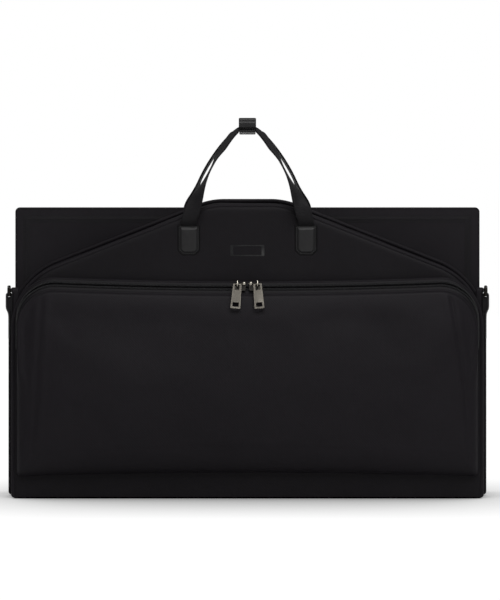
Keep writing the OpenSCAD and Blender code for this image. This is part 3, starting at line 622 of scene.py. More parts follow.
face_in, face_drop, face_lift = 3 * mm, 16 * mm, 5 * mm
face_out = 32 * mm
face_soft = 48 * mm
face_full = 0.81
sheet_w = pocket_half - face_in
sheet_r = pocket_r - face_in / 2


def sheet_ends(x):
    """The heights of the face's foot and top at each x: the foot is bowed, and the top ends in arcs."""
    straight = sheet_w - sheet_r
    aside = np.clip(np.abs(x) - straight, 0, 0.999 * sheet_r)
    foot = pocket_z + face_lift + foot_bow * (1 - (x / sheet_w) ** 2)
    bowed = (np.minimum(np.abs(x), straight) / (pocket_half - pocket_r)) ** 2
    top = pocket_top - face_drop + zip_bow * bowed
    return foot, top - sheet_r + np.sqrt(sheet_r ** 2 - aside ** 2)


def crowned(x, z):
    """How far the face has risen: 0 along its sides, foot and top, and about 1 in the middle. It is the
    product of one soft rise from each of them."""
    foot, top = sheet_ends(x)
    gaps = np.maximum([sheet_w - np.abs(x), z - foot, top - z], 0)
    return np.prod(1 - np.exp(-gaps / face_soft), axis=0) / face_full


# The layers of the pocket from the panel outwards, measured as in pocket_ring: at the panel, above the
# zip and below the zip. From there the face runs in to a spine, and rises towards it ever less steeply.
layers = mm * np.array([[0, 0, 0, 0, 0], [0.5, 2, 1, 2, 11], [3, 16, 5, 17, 16]])
zip_h = 14.87 * mm
q = np.concatenate([np.linspace(0, 0.85, 8), np.linspace(0.9, 2, 42)])
wall_grid = pocket_ring(*[np.interp(q, np.arange(3), layers[:, k]) for k in range(5)])
edge = wall_grid[:, -1]
spine_z = 150 * mm
spine_x = 200 * mm
spine_share = np.concatenate([np.linspace(0, 1, edge_n), np.ones(heel_n + side_n + bend_n - 3),
                              np.linspace(1, 0, edge_n)[1:]])
spine_share = np.concatenate([-spine_share, spine_share[-2::-1]])
spine = xyz(spine_x * spine_share, edge[:, 1], spine_z)
inward = np.linspace(0, 1, 44)[1:] ** 1.9
face_grid = edge[:, None] + (spine - edge)[:, None] * inward[:, None]
reach = np.linalg.norm(spine - edge, axis=1)[:, None]
run_in = reach * inward
face_from = -outer_y - 16.5 * mm
face_rise = (-outer_y - face_out - face_from) * crowned(face_grid[..., 0], face_grid[..., 2])
face_grid[..., 1] = face_from + face_rise + (edge[:, 1:2] - face_from) * (1 - inward) ** 2
pocket_grid = np.concatenate([wall_grid, face_grid], 1)

# Distance below the zip line, and how much each row has of the zip: its lips, the shelf that its tapes
# lie on and the slot that the sliders run in
wall_below = np.broadcast_to((q - 1.5) * zip_h, wall_grid.shape[:2])
below = np.concatenate([wall_below, zip_h / 2 + run_in], 1) / mm
zip_row = -20
zip_end_z, zip_fade = 185 * mm, 8 * mm
zipped = np.clip((wall_grid[:, zip_row, 2] - zip_end_z) / zip_fade, 0, 1)[:, None]
normal = np.cross(np.gradient(pocket_grid, axis=1), np.gradient(pocket_grid, axis=0))
normal /= np.maximum(np.linalg.norm(normal, axis=2, keepdims=True), 1e-12)
normal *= -np.sign(normal[..., 1].mean())
step_w = 0.5
shelf_from, shelf_to, shelf_deep = -6.3, 7.2, 0.9
slot_half, slot_deep = 4.9, 2.3
lips = ((0.9, -7.4, 1.0), (0.7, 8.2, 0.9), (-0.5, 11, 0.8))
shelf = eased((below - shelf_from) / step_w) * eased((shelf_to - below) / step_w)
slot_part = eased((slot_half - np.abs(below)) / step_w)
lift = sum(height * hump(below, middle, width) for height, middle, width in lips)
lift = zipped * (lift - shelf_deep * shelf - slot_deep * slot_part)
pocket_grid += normal * (lift * mm)[..., None]

# Away from the zip the wall turns into the face over a soft edge
soft_rounds = 600
calm = eased((186 * mm - wall_grid[:, zip_row, 2]) / (60 * mm))[:, None] ** 2
loose = (calm * (below > -6) * (below < 40))[:, 1:-1, None]
for step in range(soft_rounds):
    bent = pocket_grid[:, :-2] + pocket_grid[:, 2:] - 2 * pocket_grid[:, 1:-1]
    pocket_grid[:, 1:-1] += 0.25 * loose * bent

pocket_x, pocket_up = pocket_grid[..., 0], pocket_grid[..., 2]
face_part = eased((below - 11) / 40)

# What the pocket holds presses its face out, and the cloth, cut a little large, falls in shallow folds.
# Blender's Cloth works them out on a coarse sheet that is held along the zip, the sides and the foot.
sheet_rows, sheet_columns = 46, 96
press_frames = 30
fold_share = 0.5


def pressed(points, held):
    """The moves of a sheet of cloth over a grid of points, held at some of them and pressed from behind,
    after some frames of Blender's Cloth. The sheet is 0.2 % larger than the grid."""
    sheet = surface("pressed_sheet", points)
    sheet.vertex_groups.new(name="held").add([int(k) for k in held], 1.0, "REPLACE")
    modifier = sheet.modifiers.new("cloth", "CLOTH")
    modifier.collision_settings.use_collision = False
    modifier.point_cache.frame_end = press_frames
    way = np.sign(np.mean([face.normal.y for face in sheet.data.polygons]))
    feel = give(modifier.settings, vertex_group_mass="held", quality=8, mass=0.05, tension_stiffness=400,
                compression_stiffness=200, shear_stiffness=60, bending_stiffness=8, air_damping=3,
                shrink_min=-0.002, use_pressure=True, uniform_pressure_force=-0.2 * way)
    feel.effector_weights.gravity = 0.05
    stage = bpy.context.scene
    first = stage.frame_current
    for step in range(1, press_frames + 1):
        stage.frame_set(step)
    shaped = sheet.evaluated_get(bpy.context.evaluated_depsgraph_get()).data
    moved = np.empty(points.size, np.float32)
    shaped.vertices.foreach_get("co", moved)
    stage.frame_set(first)
    bpy.data.objects.remove(sheet)
    return moved.reshape(points.shape) - points


def softly(values, row, column):
    """A grid of values read between its points with the weights of a cubic B-spline."""
    def weights(t):
        return ((1 - t) ** 3 / 6, (3 * t ** 3 - 6 * t ** 2 + 4) / 6,
                (1 + 3 * t + 3 * t ** 2 - 3 * t ** 3) / 6, t ** 3 / 6)

    r, c = np.floor(row).astype(int), np.floor(column).astype(int)
    total = 0
    for i, row_weight in enumerate(weights(row - r)):
        for j, column_weight in enumerate(weights(column - c)):
            near = np.clip(r + i - 1, 0, len(values) - 1), np.clip(c + j - 1, 0, values.shape[1] - 1)
            total = total + row_weight * column_weight * values[near]
    return total


folds = 0 * pocket_x
sheet_x = np.linspace(-sheet_w, sheet_w, sheet_columns)
sheet_foot, sheet_top = sheet_ends(sheet_x)
sheet_z = sheet_foot + (sheet_top - sheet_foot) * np.linspace(0, 1, sheet_rows)[:, None]
sheet_x = np.broadcast_to(sheet_x, sheet_z.shape)
sheet_waves = [(190, 20, 1.0, 0.4 * mm), (107, 60, 0.3, 0.3 * mm)]
sheet_out = 16 * mm + 16 * mm * crowned(sheet_x, sheet_z) + ripple(sheet_x, sheet_z, sheet_waves)
index = np.arange(sheet_z.size).reshape(sheet_z.shape)
held = np.unique(np.concatenate([index[0], index[-1], index[:, 0], index[:, -1]]))
moves = pressed(xyz(sheet_x, -outer_y - sheet_out, sheet_z), held)
face_foot, face_top = sheet_ends(np.clip(pocket_x, -sheet_w, sheet_w))
row = (sheet_rows - 1) * np.clip((pocket_up - face_foot) / (face_top - face_foot), 0, 1)
column = (sheet_columns - 1) * np.clip((pocket_x + sheet_w) / (2 * sheet_w), 0, 1)
folds = softly(-moves[..., 1] / mm, row, column)
folds = fold_share * folds * (1 - hump(pocket_x, 0, 50 * mm) * eased((pocket_up - 200 * mm) / (30 * mm)))
swell = ripple(pocket_x, pocket_up, [
    (260, 80, 0.2, 0.9), (140, 15, 1.1, 0.5), (88, -30, 0.4, 0.3), (61, 70, 2.9, 0.18)])

# Near each end of the face, a pleat leans inwards as it rises
pleat_low, pleat_h = 35 * mm, 225 * mm
pleat_dip = 0.1
up_share = np.clip((pocket_up - pleat_low) / pleat_h, 0, 1)
pleats = 0 * swell
for way, pleat, deep, wide in ((-1, 268.5 - 12.5 * up_share, 0.8, 3.2),
                               (1, 277 - 25 * up_share ** 1.7, 1.9, 2.0)):
    outside = way * pocket_x / mm - pleat
    pleats += 0.6 * hump(outside, -7, 5) - deep * hump(outside, 0, wide) + 0.7 * hump(outside, 7, 4)
    pleats -= pleat_dip * np.clip(outside, 0, 30)
pocket_grid[..., 1] -= (face_part * (swell + folds) + eased((below - 9) / 10) * pleats) * mm

# Its foot is drawn in towards the seam below
foot_drawn, foot_reach = 0.62, 4.5 * mm
foot_line = pocket_z + foot_bow * (1 - (pocket_x / pocket_half) ** 2)
drawn = 1 - foot_drawn * np.exp(-np.maximum(pocket_up - foot_line, 0) / foot_reach)
pocket_grid[..., 1] = -outer_y + (pocket_grid[..., 1] + outer_y) * drawn
pocket = surface("pocket_cloth", pocket_grid, uv=pocket_grid[..., [0, 2]])
fit(pocket, "front_half", "shell_cloth", ballistic, "pocket_shell")
thicken(pocket, 1.2 * mm)


# Pocket zip
# A coil zip on two woven tapes, sewn to the pocket above and below. It runs over the pocket's upper edge
# and down round both corners, and its two rows of teeth mesh all the way outside the sliders.


def unit(vectors):
    """Vectors of the same directions and of length 1."""
    return vectors / np.linalg.norm(vectors, axis=1, keepdims=True)


zip_upper, zip_lower = (pocket_ring(*layers[k][:, None])[:, 0] for k in (1, 2))
zip_from = np.argmax(zip_upper[:, 2] > 189 * mm)
zip_upper, zip_lower = zip_upper[zip_from:-zip_from], zip_lower[zip_from:-zip_from]
zip_line = (zip_upper + zip_lower) / 2
zip_length = lengths(zip_line)


def along_zip(stations):
    """Places on the zip line at distances from its left end, with unit vectors along it, down across
    the tapes and out of the cloth, each (stations, 3)."""
    down = unit(picked(stations, zip_length, zip_lower - zip_upper))
    out = unit(np.cross(down, picked(stations, zip_length, np.gradient(zip_line, axis=0))))
    return picked(stations, zip_length, zip_line), np.cross(out, down), down, out


place, run, down, out = along_zip(np.linspace(0, zip_length[-1], 420))
tape_w, tape_t, tape_r = 3.9 * mm, 0.7 * mm, 0.3 * mm
tape_loop = rounded_loop(tape_w, tape_t, tape_r, corner=3, straight=3)
for name, shift in (("upper", -5.0 * mm), ("lower", 5.4 * mm)):
    grid = carried(place + shift * down - 0.1 * mm * out, down, out, tape_loop)
    fit(surface("pocket_%s_tape_weave" % name, grid), "front_half", "zip_tape", tape_cloth,
        "pocket_%s_tape" % name)


def beads(name, centre, axes, sizes, squareness=1.0):
    """A row of small rounded blocks: centres (count, 3), three axes, each one vector or (count, 3), and half
    sizes. Each is a globe whose sines and cosines are raised to a power below 1 to square it."""
    rise = np.linspace(-np.pi / 2, np.pi / 2, 6)[:, None]
    turn = np.linspace(0, 2 * np.pi, 9)[None, :]

    def bent(value):
        return np.sign(value) * np.abs(value) ** squareness

    shape = [bent(np.cos(rise)) * bent(np.cos(turn)), bent(np.cos(rise)) * bent(np.sin(turn)),
             bent(np.sin(rise)) * np.ones_like(turn)]
    grid = centre[:, None, None]
    for axis, size, part in zip(axes, sizes, shape):
        grid = grid + np.atleast_2d(axis)[:, None, None] * (size * part)[None, ..., None]
    return surface(name, grid)


coil = speckled("zip_coil", 1500.0, (0.005, 0.005, 0.0055, 1), (0.014, 0.014, 0.015, 1), (0.28, 0.45), 0.25)

tooth_pitch = 1.7 * mm
tooth_half = (0.62 * mm, 1.5 * mm, 0.95 * mm)
tooth_aside, tooth_out = 2.1 * mm, 0.8 * mm
for name, sign, start in (("upper", -1, 0.0), ("lower", 1, 0.5)):
    stations = np.arange(0.8 * mm + start * tooth_pitch, zip_length[-1] - 1 * mm, tooth_pitch)
    place, run, down, out = along_zip(stations)
    centre = place + sign * tooth_aside * down + tooth_out * out
    row = beads("pocket_%s_teeth_coil" % name, centre, (run, down, out), tooth_half, 0.75)
    fit(row, "front_half", "zip_teeth", coil, "pocket_%s_teeth" % name)


# Zip sliders and pulls
# Die-cast sliders with a bail over the upper wing, and a flat pull with two windows on each bail. They
# are plated in a satin pewter that is rubbed brighter along the edges; the sliders' plate is darker, as
# painted shade, with a painted highlight on the dome and bail.

wear, wear_in, wear_out = group_of(
    "rubbed_edges", {"Bright": "Color", "Plain": "Color", "Scratch": "Float"},
    {"Colour": "Color", "Roughness": "Float", "Height": "Float"})
wear_place = own_place(wear)
wear_edge = ranged(wear, node(wear, "NewGeometry").outputs["Pointiness"], 0.0, 1.0, 0.5, 0.6)
wear_amount = math_node(wear, "MULTIPLY", wear_edge, noise(wear, 420.0, 4.0, wear_place))
wear_lines = node(wear, "VectorMath", {0: wear_place, 1: (900, 900, 60)}, operation="MULTIPLY")
wear_brush = noise(wear, 1.0, place=wear_lines.outputs[0])
feed(wear, wear_out, {
    "Colour": mixed(wear, wear_amount, wear_in["Plain"], wear_in["Bright"]),
    "Roughness": ranged(wear, wear_brush, 0.24, 0.42),
    "Height": math_node(wear, "MULTIPLY", wear_brush, wear_in["Scratch"])})


def plated(name, plain, bright, scratch):
    """Plated metal: fine brushing in the roughness and the bump, and brighter edges."""
    material, tree, shader = blank(name)
    finish = {"Plain": plain, "Bright": bright, "Scratch": scratch}
    worn = node(tree, "Group", finish, node_tree=wear).outputs
    feed(tree, shader, {
        "Base Color": worn["Colour"],
        "Roughness": worn["Roughness"],
        "Normal": bumped(tree, worn["Height"], 0.3, 0.03 * mm),
        "Metallic": 1.0})
    return material


def dressed(name, material, round_edge):
    """A node whose shape is right: doubles are merged by a modifier and its edges rounded."""
    piece = nodes[name]
    paint(piece, material)
    give(piece.modifiers.new("weld", "WELD"), merge_threshold=0.002 * mm)
    if round_edge:
        give(piece.modifiers.new("round", "BEVEL"), width=round_edge, segments=2, limit_method="ANGLE",
             angle_limit=math.radians(40), harden_normals=True)


pewter = plated("pewter_plate", (0.1, 0.092, 0.08, 1), (0.28, 0.26, 0.225, 1), 1.0)
dark_pewter = plated("dark_pewter_plate", (0.02, 0.018, 0.016, 1), (0.05, 0.046, 0.04, 1), 0.3)
# The sliders' plate is darker than the pulls' pewter: painted shade for the recesses round their wings and
# windows
shaded_slider_plate = plated("shaded_slider_plate", (0.008, 0.0075, 0.007, 1), (0.03, 0.028, 0.025, 1), 0.3)

# On a slider the dome and the bail, which stand above its upper wing, get a painted highlight: a paler
# colour where the lamps would glint
wings = [face for face in nodes["zip_slider_left"].data.polygons
         if face.normal.y < -0.3 and face.area > 4 * mm ** 2]
wing = max(wings, key=lambda face: face.center.dot(face.normal))
wing_out = wing.center.dot(wing.normal)
tree = shaded_slider_plate.node_tree
above = node(tree, "VectorMath", {0: own_place(tree), 1: wing.normal}, operation="DOT_PRODUCT")
dome_highlight = ranged(tree, above.outputs["Value"], 0.0, 1.0, wing_out + 0.3 * mm, wing_out + 1.2 * mm)
shader = tree.nodes["Principled BSDF"]
plain = shader.inputs["Base Color"].links[0].from_socket
feed(tree, shader, {"Base Color": mixed(tree, dome_highlight, plain, (0.4, 0.375, 0.325, 1))})
for side in ("left", "right"):
    dressed("zip_slider_" + side, shaded_slider_plate, 0.35 * mm)
    dressed("zip_pull_" + side, pewter, 0.3 * mm)
    dressed("d_ring_" + side, dark_pewter, 0)
    dressed("main_zip_slider_" + side, pewter, 0.3 * mm)


# Hook and hanger fittings
# A wire hook on a rivet and bracket in the fold, and a bar for coat hangers inside the shoulder half,
# all nickel plated steel.

nickel = plated("nickel_plate", (0.5, 0.5, 0.5, 1), (0.75, 0.75, 0.75, 1), 0.6)
for name, edge_r in (("hanging_hook", 0), ("hook_rivet", 0.2 * mm), ("hook_bracket", 0.3 * mm),
                     ("hanger_bracket", 0.4 * mm), ("hanger_bar", 0.4 * mm), ("front_wrap_magnet", 0.1 * mm),
                     ("rear_wrap_magnet", 0.1 * mm)):
    dressed(name, nickel, edge_r)


# Handle patches
# Black leather patches that cover the ends of the handles: a flat stitched border round a padded middle,
# with the two lower corners cut off.

leather, tree, shader = blank("black_leather")
leather_place = own_place(tree)
pores = node(tree, "TexVoronoi", {"Vector": leather_place, "Scale": 900.0}, feature="F1").outputs[0]
fine = noise(tree, 320.0, 5.0, leather_place)
skin = mixed(tree, fine, (0.004, 0.0038, 0.0042, 1), (0.012, 0.0115, 0.0122, 1))
# The flat border is coloured darker and given less specular than the padded middle
border_darkening = node(tree, "Attribute", attribute_name="border").outputs["Fac"]
feed(tree, shader, {
    "Base Color": mixed(tree, border_darkening, skin, (0.003, 0.0028, 0.0031, 1)),
    "Roughness": ranged(tree, fine, 0.32, 0.5),
    "Specular IOR Level": ranged(tree, border_darkening, 0.3, 0.08),
    "Normal": bumped(tree, math_node(tree, "ADD", pores, fine), 0.1, 0.06 * mm)})

thread, tree, shader = blank("black_thread")
ply = node(tree, "TexWave", {"Vector": own_place(tree), "Scale": 900.0, "Distortion": 1.0})
feed(tree, shader, {
    "Base Color": mixed(tree, ply.outputs[1], (0.012, 0.012, 0.012, 1), (0.035, 0.034, 0.036, 1)),
    "Roughness": 0.55})


def stitches(name, body, points, out, pitch):
    """A row of stitches round a closed line of points: one rounded block every pitch, lying along it."""
    points = np.concatenate([points, points[:1]])
    length = lengths(points)
    count = max(int(length[-1] / pitch), 2)
    stations = (np.arange(count) + 0.5) * length[-1] / count
    run = unit(picked(stations + pitch / 4, length, points) - picked(stations - pitch / 4, length, points))
    centre = picked(stations, length, points)
    row = beads(name, centre, (np.cross(out, run), run, out), (0.36 * mm, pitch * 0.4, 0.3 * mm))
    return fit(row, body, "webbing", thread)


patch_w = 28.4 * mm
patch_h = 38 * mm
patch_cut = 6 * mm
handle_half = 147 / 2 * mm
patch_top = {side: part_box(side + "_handle_patches")[1][2] for side in facing}
fall = np.concatenate([np.linspace(0, 1.5, 5), np.linspace(2, 31, 32), np.linspace(31.6, 38, 15)])
fall = fall[:, None] * mm
half = patch_w / 2 - np.clip(fall - (patch_h - patch_cut), 0, None)
x = half * np.sin(np.pi / 2 * np.linspace(-1, 1, 41))
inside = np.minimum(half - np.abs(x), np.minimum(fall, patch_h - fall))
inside = np.minimum(inside, (patch_w / 2 + patch_h - patch_cut - fall - np.abs(x)) / math.sqrt(2))

# The edge of the leather, its padded middle, and the grooves of the seam and at the foot of the padding
border_t, border_r = 1.1 * mm, 0.7 * mm
pad_in = 3.2 * mm
border = border_t * np.sqrt(np.clip(1 - (1 - np.clip(inside / border_r, 0, 1)) ** 2, 0, 1))
pad = eased((inside - pad_in) / (1.8 * mm))
pad = 1.4 * mm * pad + 0.8 * mm * pad * (1 - np.exp(-(inside - pad_in) / (4 * mm)))
groove = 0.3 * mm * hump(inside, 2.0 * mm, 0.6 * mm) + 0.35 * mm * hump(inside, 3.3 * mm, 0.4 * mm)
patch_gap, seam_out = 0.4 * mm, 1.3 * mm
patch_out = outer_y + patch_gap + (border + pad - groove)
flat_border = 1 - eased((inside - 2.6 * mm) / mm)

seam_in = 2.1 * mm
stitch_pitch = 2.6 * mm
seam_half = patch_w / 2 - seam_in
seam_foot = seam_in - patch_h
seam_cut = patch_cut - 0.9 * mm
seam_x = np.array([-seam_half, seam_half, seam_half, seam_half - seam_cut, seam_cut - seam_half, -seam_half])
seam_z = np.array([-seam_in, -seam_in, seam_foot + seam_cut, seam_foot, seam_foot, seam_foot + seam_cut])
for side in ("front", "rear"):
    shapes = []
    for end, way in (("left", -1), ("right", 1)):
        shapes.append(xyz(x + way * handle_half, facing[side] * patch_out, patch_top[side] - fall))
        seam = xyz(seam_x + way * handle_half, facing[side] * (outer_y + seam_out), seam_z + patch_top[side])
        name = "%s_patch_thread_%s" % (side, end)
        stitches(name, side + "_half", seam, (0, facing[side], 0), stitch_pitch)
    piece = surface(side + "_patch_leather", np.stack(shapes))
    border_part = piece.data.attributes.new("border", "FLOAT", "POINT")
    border_part.data.foreach_set("value", np.tile(flat_border, (2, 1)).reshape(-1))
    fit(piece, side + "_half", "leather", leather, side + "_handle_patches")
    thicken(piece, 1.0 * mm)


# Badge
# A small cast plate with a sunk field, left bare, on the panel under the neck.

badge = plated("badge_plate_finish", (0.01, 0.01, 0.011, 1), (0.16, 0.16, 0.16, 1), 0.8)
dressed("badge_plate", badge, 0.25 * mm)


# Side tabs
# A short strip of webbing on each side wall, folded over a wire ring that takes a shoulder strap and sewn
# to a padded strip of cloth that fills the hollow where the shoulder curves away.

webbing = cloth("webbing_weave", (0.004, 0.0038, 0.0043, 1), (0.013, 0.0122, 0.0135, 1),
                800, 0.55, 0.01, 0.35 * mm)

# The strip's middle line, out from the wall and up: up the wall, over the ring and down again
tab_path = mm * np.array([
    (3.5, 200), (3.5, 208), (3.5, 216), (3.5, 224), (3.5, 232), (3.5, 240), (3.5, 246), (3.5, 250),
    (3.55, 253), (3.6, 255), (3.95, 256.4), (4.9, 257.3), (6.25, 257.65), (7.6, 257.3), (8.55, 256.4),
    (8.9, 255), (8.95, 252), (8.95, 248), (8.95, 244), (8.9, 240.5), (8.4, 237.6), (7.2, 235), (6.2, 232.4),
    (5.7, 229), (5.6, 224), (5.6, 216), (5.6, 208), (5.6, 200)])
tab_run = unit(np.gradient(tab_path, axis=0))
tab_w, tab_t = 20 * mm, 2.1 * mm
tab_x, tab_y = 301.8 * mm, -28.13 * mm
wall_turn = math.radians(10.42)
ring_out = 6.25 * mm
fold_w, fold_t, fold_r = 19.4 * mm, 3.5 * mm, 0.4 * mm
fold_low, fold_full, fold_top = 232.4 * mm, 238 * mm, 253.2 * mm
fold_out, fold_dip = 6.2 * mm, 1.3 * mm
pad_w, pad_t, pad_r = 19.6 * mm, 8.4 * mm, 2 * mm
lean_from, lean_run = 258.5 * mm, 1.5 * mm
up = np.array([0, 0, 1])
for side, way in (("left", -1), ("right", 1)):
    out = np.array([way * math.cos(wall_turn), -math.sin(wall_turn), 0])
    along = np.array([way * math.sin(wall_turn), math.cos(wall_turn), 0])
    foot = np.array([way * tab_x, tab_y, 0]) - ring_out * out
    path = foot + tab_path[:, :1] * out + tab_path[:, 1:] * up
    normal = tab_run[:, 1:] * out - tab_run[:, :1] * up
    grid = carried(path, along, normal, rounded_loop(tab_w, tab_t, tab_t / 3, corner=4, straight=8))
    fit(surface("side_tab_%s_webbing" % side, grid), "front_half", "webbing", webbing, "side_tab_" + side)

    rise = np.linspace(fold_low, fold_top, 9)[:, None]
    shrink = np.interp(rise, [fold_low, fold_full], [0.2, 1])
    loop = rounded_loop(fold_w, fold_t, fold_r, corner=4, straight=8)
    loop = np.stack([loop[:, 0] + 0 * rise, loop[:, 1] * shrink], 2)
    path = foot + fold_out * out + rise * up - fold_dip * (1 - shrink) * out
    fold = surface("side_tab_%s_fold" % side, carried(path, along, out, loop))
    fit(fold, "front_half", "webbing", webbing)

    rise = [[198, 198.4], np.linspace(199, 258, 24), [259.6, 261, 262.4, 263.6, 264.5, 265]]
    rise = np.concatenate(rise) * mm
    lean = eased((rise - lean_from) / lean_run)
    shrink = np.concatenate([[0.93, 0.98], np.ones(24), [1, 0.99, 0.95, 0.87, 0.74, 0.5]])
    loop = rounded_loop(pad_w, pad_t, pad_r, corner=5, straight=8) * shrink[:, None, None]
    loop[..., 1] *= 1 + 0.2 * lean[:, None]
    path = foot + (0.85 * lean - 1.85)[:, None] * mm * out + rise[:, None] * up
    pad = surface("side_tab_%s_pad" % side, carried(path, along, out, loop))
    fit(pad, "front_half", "shell_cloth", ballistic)


# Handles
# Two loops of nylon webbing, one on each half. Each leg leaves its patch flat, turns on edge as it rises
# and is drawn in at the wrap, which holds the two loops together.

strap_w = 20 * mm
strap_top_w = 18 * mm
strap_t = 2 * mm
strap_gap = 0.3 * mm
strap_tuck = 1.2 * mm
strap_axis_y = outer_y + strap_gap + strap_t / 2
strap_top_z = 466.6 * mm
strap_mid_y = strap_top_w / 2 + 2 * mm
wrap_w = 22 * mm
full_turn = 0.93
flat_run = 0.15
back_from, back_run = 0.53, 0.16
gone_from, gone_run = 0.88, 0.12

# How far a leg swings wide, bows out and is pulled up from its patch, how far it is out from the wrap and
# below it where it turns inwards, and its lift there; then the start and the run of its twist, and how
# much of it the leg gives back between the middle and the wrap, where its face shows again
leg_shapes = {"front": ((-3.5, 32, 27, 15, 6.2, 0), (0.03, 0.47, 0.24)),
              "rear": ((10, 27, 44.5, 25, 15.7, 2.4), (0.02, 0.41, 0))}


def leg(shape, axis_z, share):
    """Points of a leg's middle line, a cubic curve from the patch to the wrap, at shares of its run."""
    wide, bow, pull, aside, drop, lift = np.array(shape) * mm
    knots = np.array([
        [-handle_half, -strap_axis_y, axis_z],
        [-handle_half - wide, -strap_axis_y - bow, axis_z + pull],
        [-wrap_w / 2 - aside, -strap_mid_y, strap_top_z + lift - drop],
        [-wrap_w / 2, -strap_mid_y, strap_top_z + lift]])
    back = 1 - share
    weights = np.stack([back ** 3, 3 * back ** 2 * share, 3 * back * share ** 2, share ** 3], 1)
    return weights @ knots


def both(left):
    """A left half's rows and their mirror image in reverse order, as one."""
    return np.concatenate([left, left[::-1] * [-1, 1, 1]])


tail = np.linspace(-8, -1, 5) * mm
share = np.linspace(0, 1, 90)
width = np.pad(strap_w + (strap_top_w - strap_w) * eased(share), (len(tail), 0), "edge")[:, None]
strap_loop = rounded_loop(1.0, strap_t, strap_t * 0.3, corner=4, straight=9)
loops = np.stack([strap_loop[:, 0] * width, strap_loop[:, 1] + 0 * width], 2)
for side, (shape, (twist_from, twist_run, twist_back)) in leg_shapes.items():
    axis_z = patch_top[side] + strap_gap + strap_t / 2
    path = leg(shape, axis_z, share)
    run = leg(shape, axis_z, np.minimum(share + 0.01, 1)) - leg(shape, axis_z, np.maximum(share - 0.01, 0))
    run[-1] = [1, 0, 0]
    run = unit(run)
    arch = xyz(-run[:, 2], 0, run[:, 0])
    back = eased((share - back_from) / back_run) - eased((share - gone_from) / gone_run)
    turn = (full_turn * eased((share - twist_from) / twist_run) - twist_back * back)[:, None]
    across = unit(np.cross(run, (1 - turn) * np.array([0, -1, 0]) + turn * arch))
    level = eased(share / flat_run)[:, None]
    across = unit((1 - level) * np.array([1, 0, 0]) + level * across)
    out = np.cross(across, run)
    path = np.concatenate([xyz(-handle_half, -strap_axis_y + strap_tuck, axis_z + tail), path])
    across, out = (np.pad(rows, ((len(tail), 0), (0, 0)), "edge") for rows in (across, out))
    grid = carried(both(path), both(across), both(out), np.concatenate([loops, loops[::-1]]))
    grid[..., 1] *= -facing[side]
    piece = surface(side + "_handle_webbing", grid)
    paint(piece, webbing)
    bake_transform(piece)
    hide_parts(side + "_handle_strap")


# Wrap
# A padded leather sleeve in two halves, one on each handle, held together by magnets. Its top and front
# are one soft roll with a crease, above a stitched edge where the leather is sewn shut.

wrap_low, wrap_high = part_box("front_wrap")
wrap_profile = mm * np.array([
    (0, 1.5), (0, 9), (0, 17.6), (1.2, 18.8), (6, 19), (12, 19), (16.6, 18.7), (19.3, 17.6), (20.4, 16.1),
    (20.6, 15.0), (20.1, 14.5), (20.9, 14.0), (21.7, 12.8), (22, 10.8), (21.8, 8.6), (21.2, 6.8),
    (20.4, 5.9), (19.6, 5.6), (19.3, 4.6), (19.2, 1.4), (18.4, 0.4), (16, 0), (9, 0), (2, 0.2), (0.5, 0.6)])
wrap_edge_h, wrap_end_r = 5.8 * mm, 1.4 * mm
crease_deep, crease_step = 0.2 * mm, 2.6 * mm
roll_z, roll_half = 11 * mm, 4 * mm
wrap_seam_out, wrap_seam_z = 19.3 * mm, 3.1 * mm
wrap_stitch = (0.45 * mm, 1.9 * mm, 0.4 * mm)
wrap_edge = wrap_profile[:, 1] < wrap_edge_h
for step in range(2):
    ahead = np.roll(wrap_profile, -1, 0)
    rounded = [0.75 * wrap_profile + 0.25 * ahead, 0.25 * wrap_profile + 0.75 * ahead]
    wrap_profile = np.stack(rounded, 1).reshape(-1, 2)
    wrap_edge = np.repeat(wrap_edge, 2)
wrap_profile = np.concatenate([wrap_profile, wrap_profile[:1]])
wrap_edge = np.append(wrap_edge, wrap_edge[0])
wrap_run = np.gradient(wrap_profile, axis=0)
wrap_out = unit(np.stack([-wrap_run[:, 1], wrap_run[:, 0]], 1))
x = wrap_w / 2 * np.sin(np.pi / 2 * np.linspace(-1, 1, 41))
near_end = np.clip(np.abs(x) - (wrap_w / 2 - wrap_end_r), 0, wrap_end_r)
drawn_in = wrap_end_r - np.sqrt(wrap_end_r ** 2 - near_end ** 2)
loop = wrap_profile - wrap_out * drawn_in[:, None, None]
loop[..., 0] += crease_deep * np.sin(x / crease_step)[:, None] * hump(loop[..., 1], roll_z, roll_half)
marks = np.linspace(-8.6, 8.6, 8) * mm
for side in ("front", "rear"):
    out = np.array([0, facing[side], 0])
    grid = carried(xyz(x, -facing[side] * wrap_high[1], wrap_low[2]), out, up, loop)
    grid[..., 0] *= 1 - 0.05 * wrap_edge
    piece = fit(surface(side + "_wrap_leather", grid), side + "_handle", "leather", leather, side + "_wrap")
    centre = xyz(marks, facing[side] * (wrap_seam_out - wrap_high[1]), wrap_low[2] + wrap_seam_z)
    row = beads(side + "_wrap_thread", centre, ((1, 0, 0), up, out), wrap_stitch)
    fit(row, side + "_handle", "webbing", thread)


# Garment strap
# A webbing strap across the skirt half that holds the clothes flat, with a moulded buckle.

band_low, band_high = np.array(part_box("garment_strap"))
band_size = band_high - band_low
band_middle = (band_low + band_high) / 2
band_bow = 0.5 * mm
share = np.linspace(0, 1, 160)
path = xyz(band_low[0] + band_size[0] * share, band_middle[1], band_middle[2])
path[:, 1] -= band_bow * np.sin(np.pi * share) ** 2
band_loop = rounded_loop(band_size[2], band_size[1], 0.5 * mm, corner=4, straight=8)
grid = carried(path, up, (0, -1, 0), band_loop)
fit(surface("garment_strap_webbing", grid), "rear_half", "webbing", webbing, "garment_strap")
buckle = speckled("moulded_buckle", 700.0, (0.012, 0.012, 0.012, 1), (0.012, 0.012, 0.012, 1), (0.35, 0.55))
dressed("strap_buckle", buckle, 0.8 * mm)


# Stage, light and camera
# A white floor and surround, a broad soft lamp above and before the bag, two weak ones before it and a
# low one behind, and a long lens at the photograph's height.

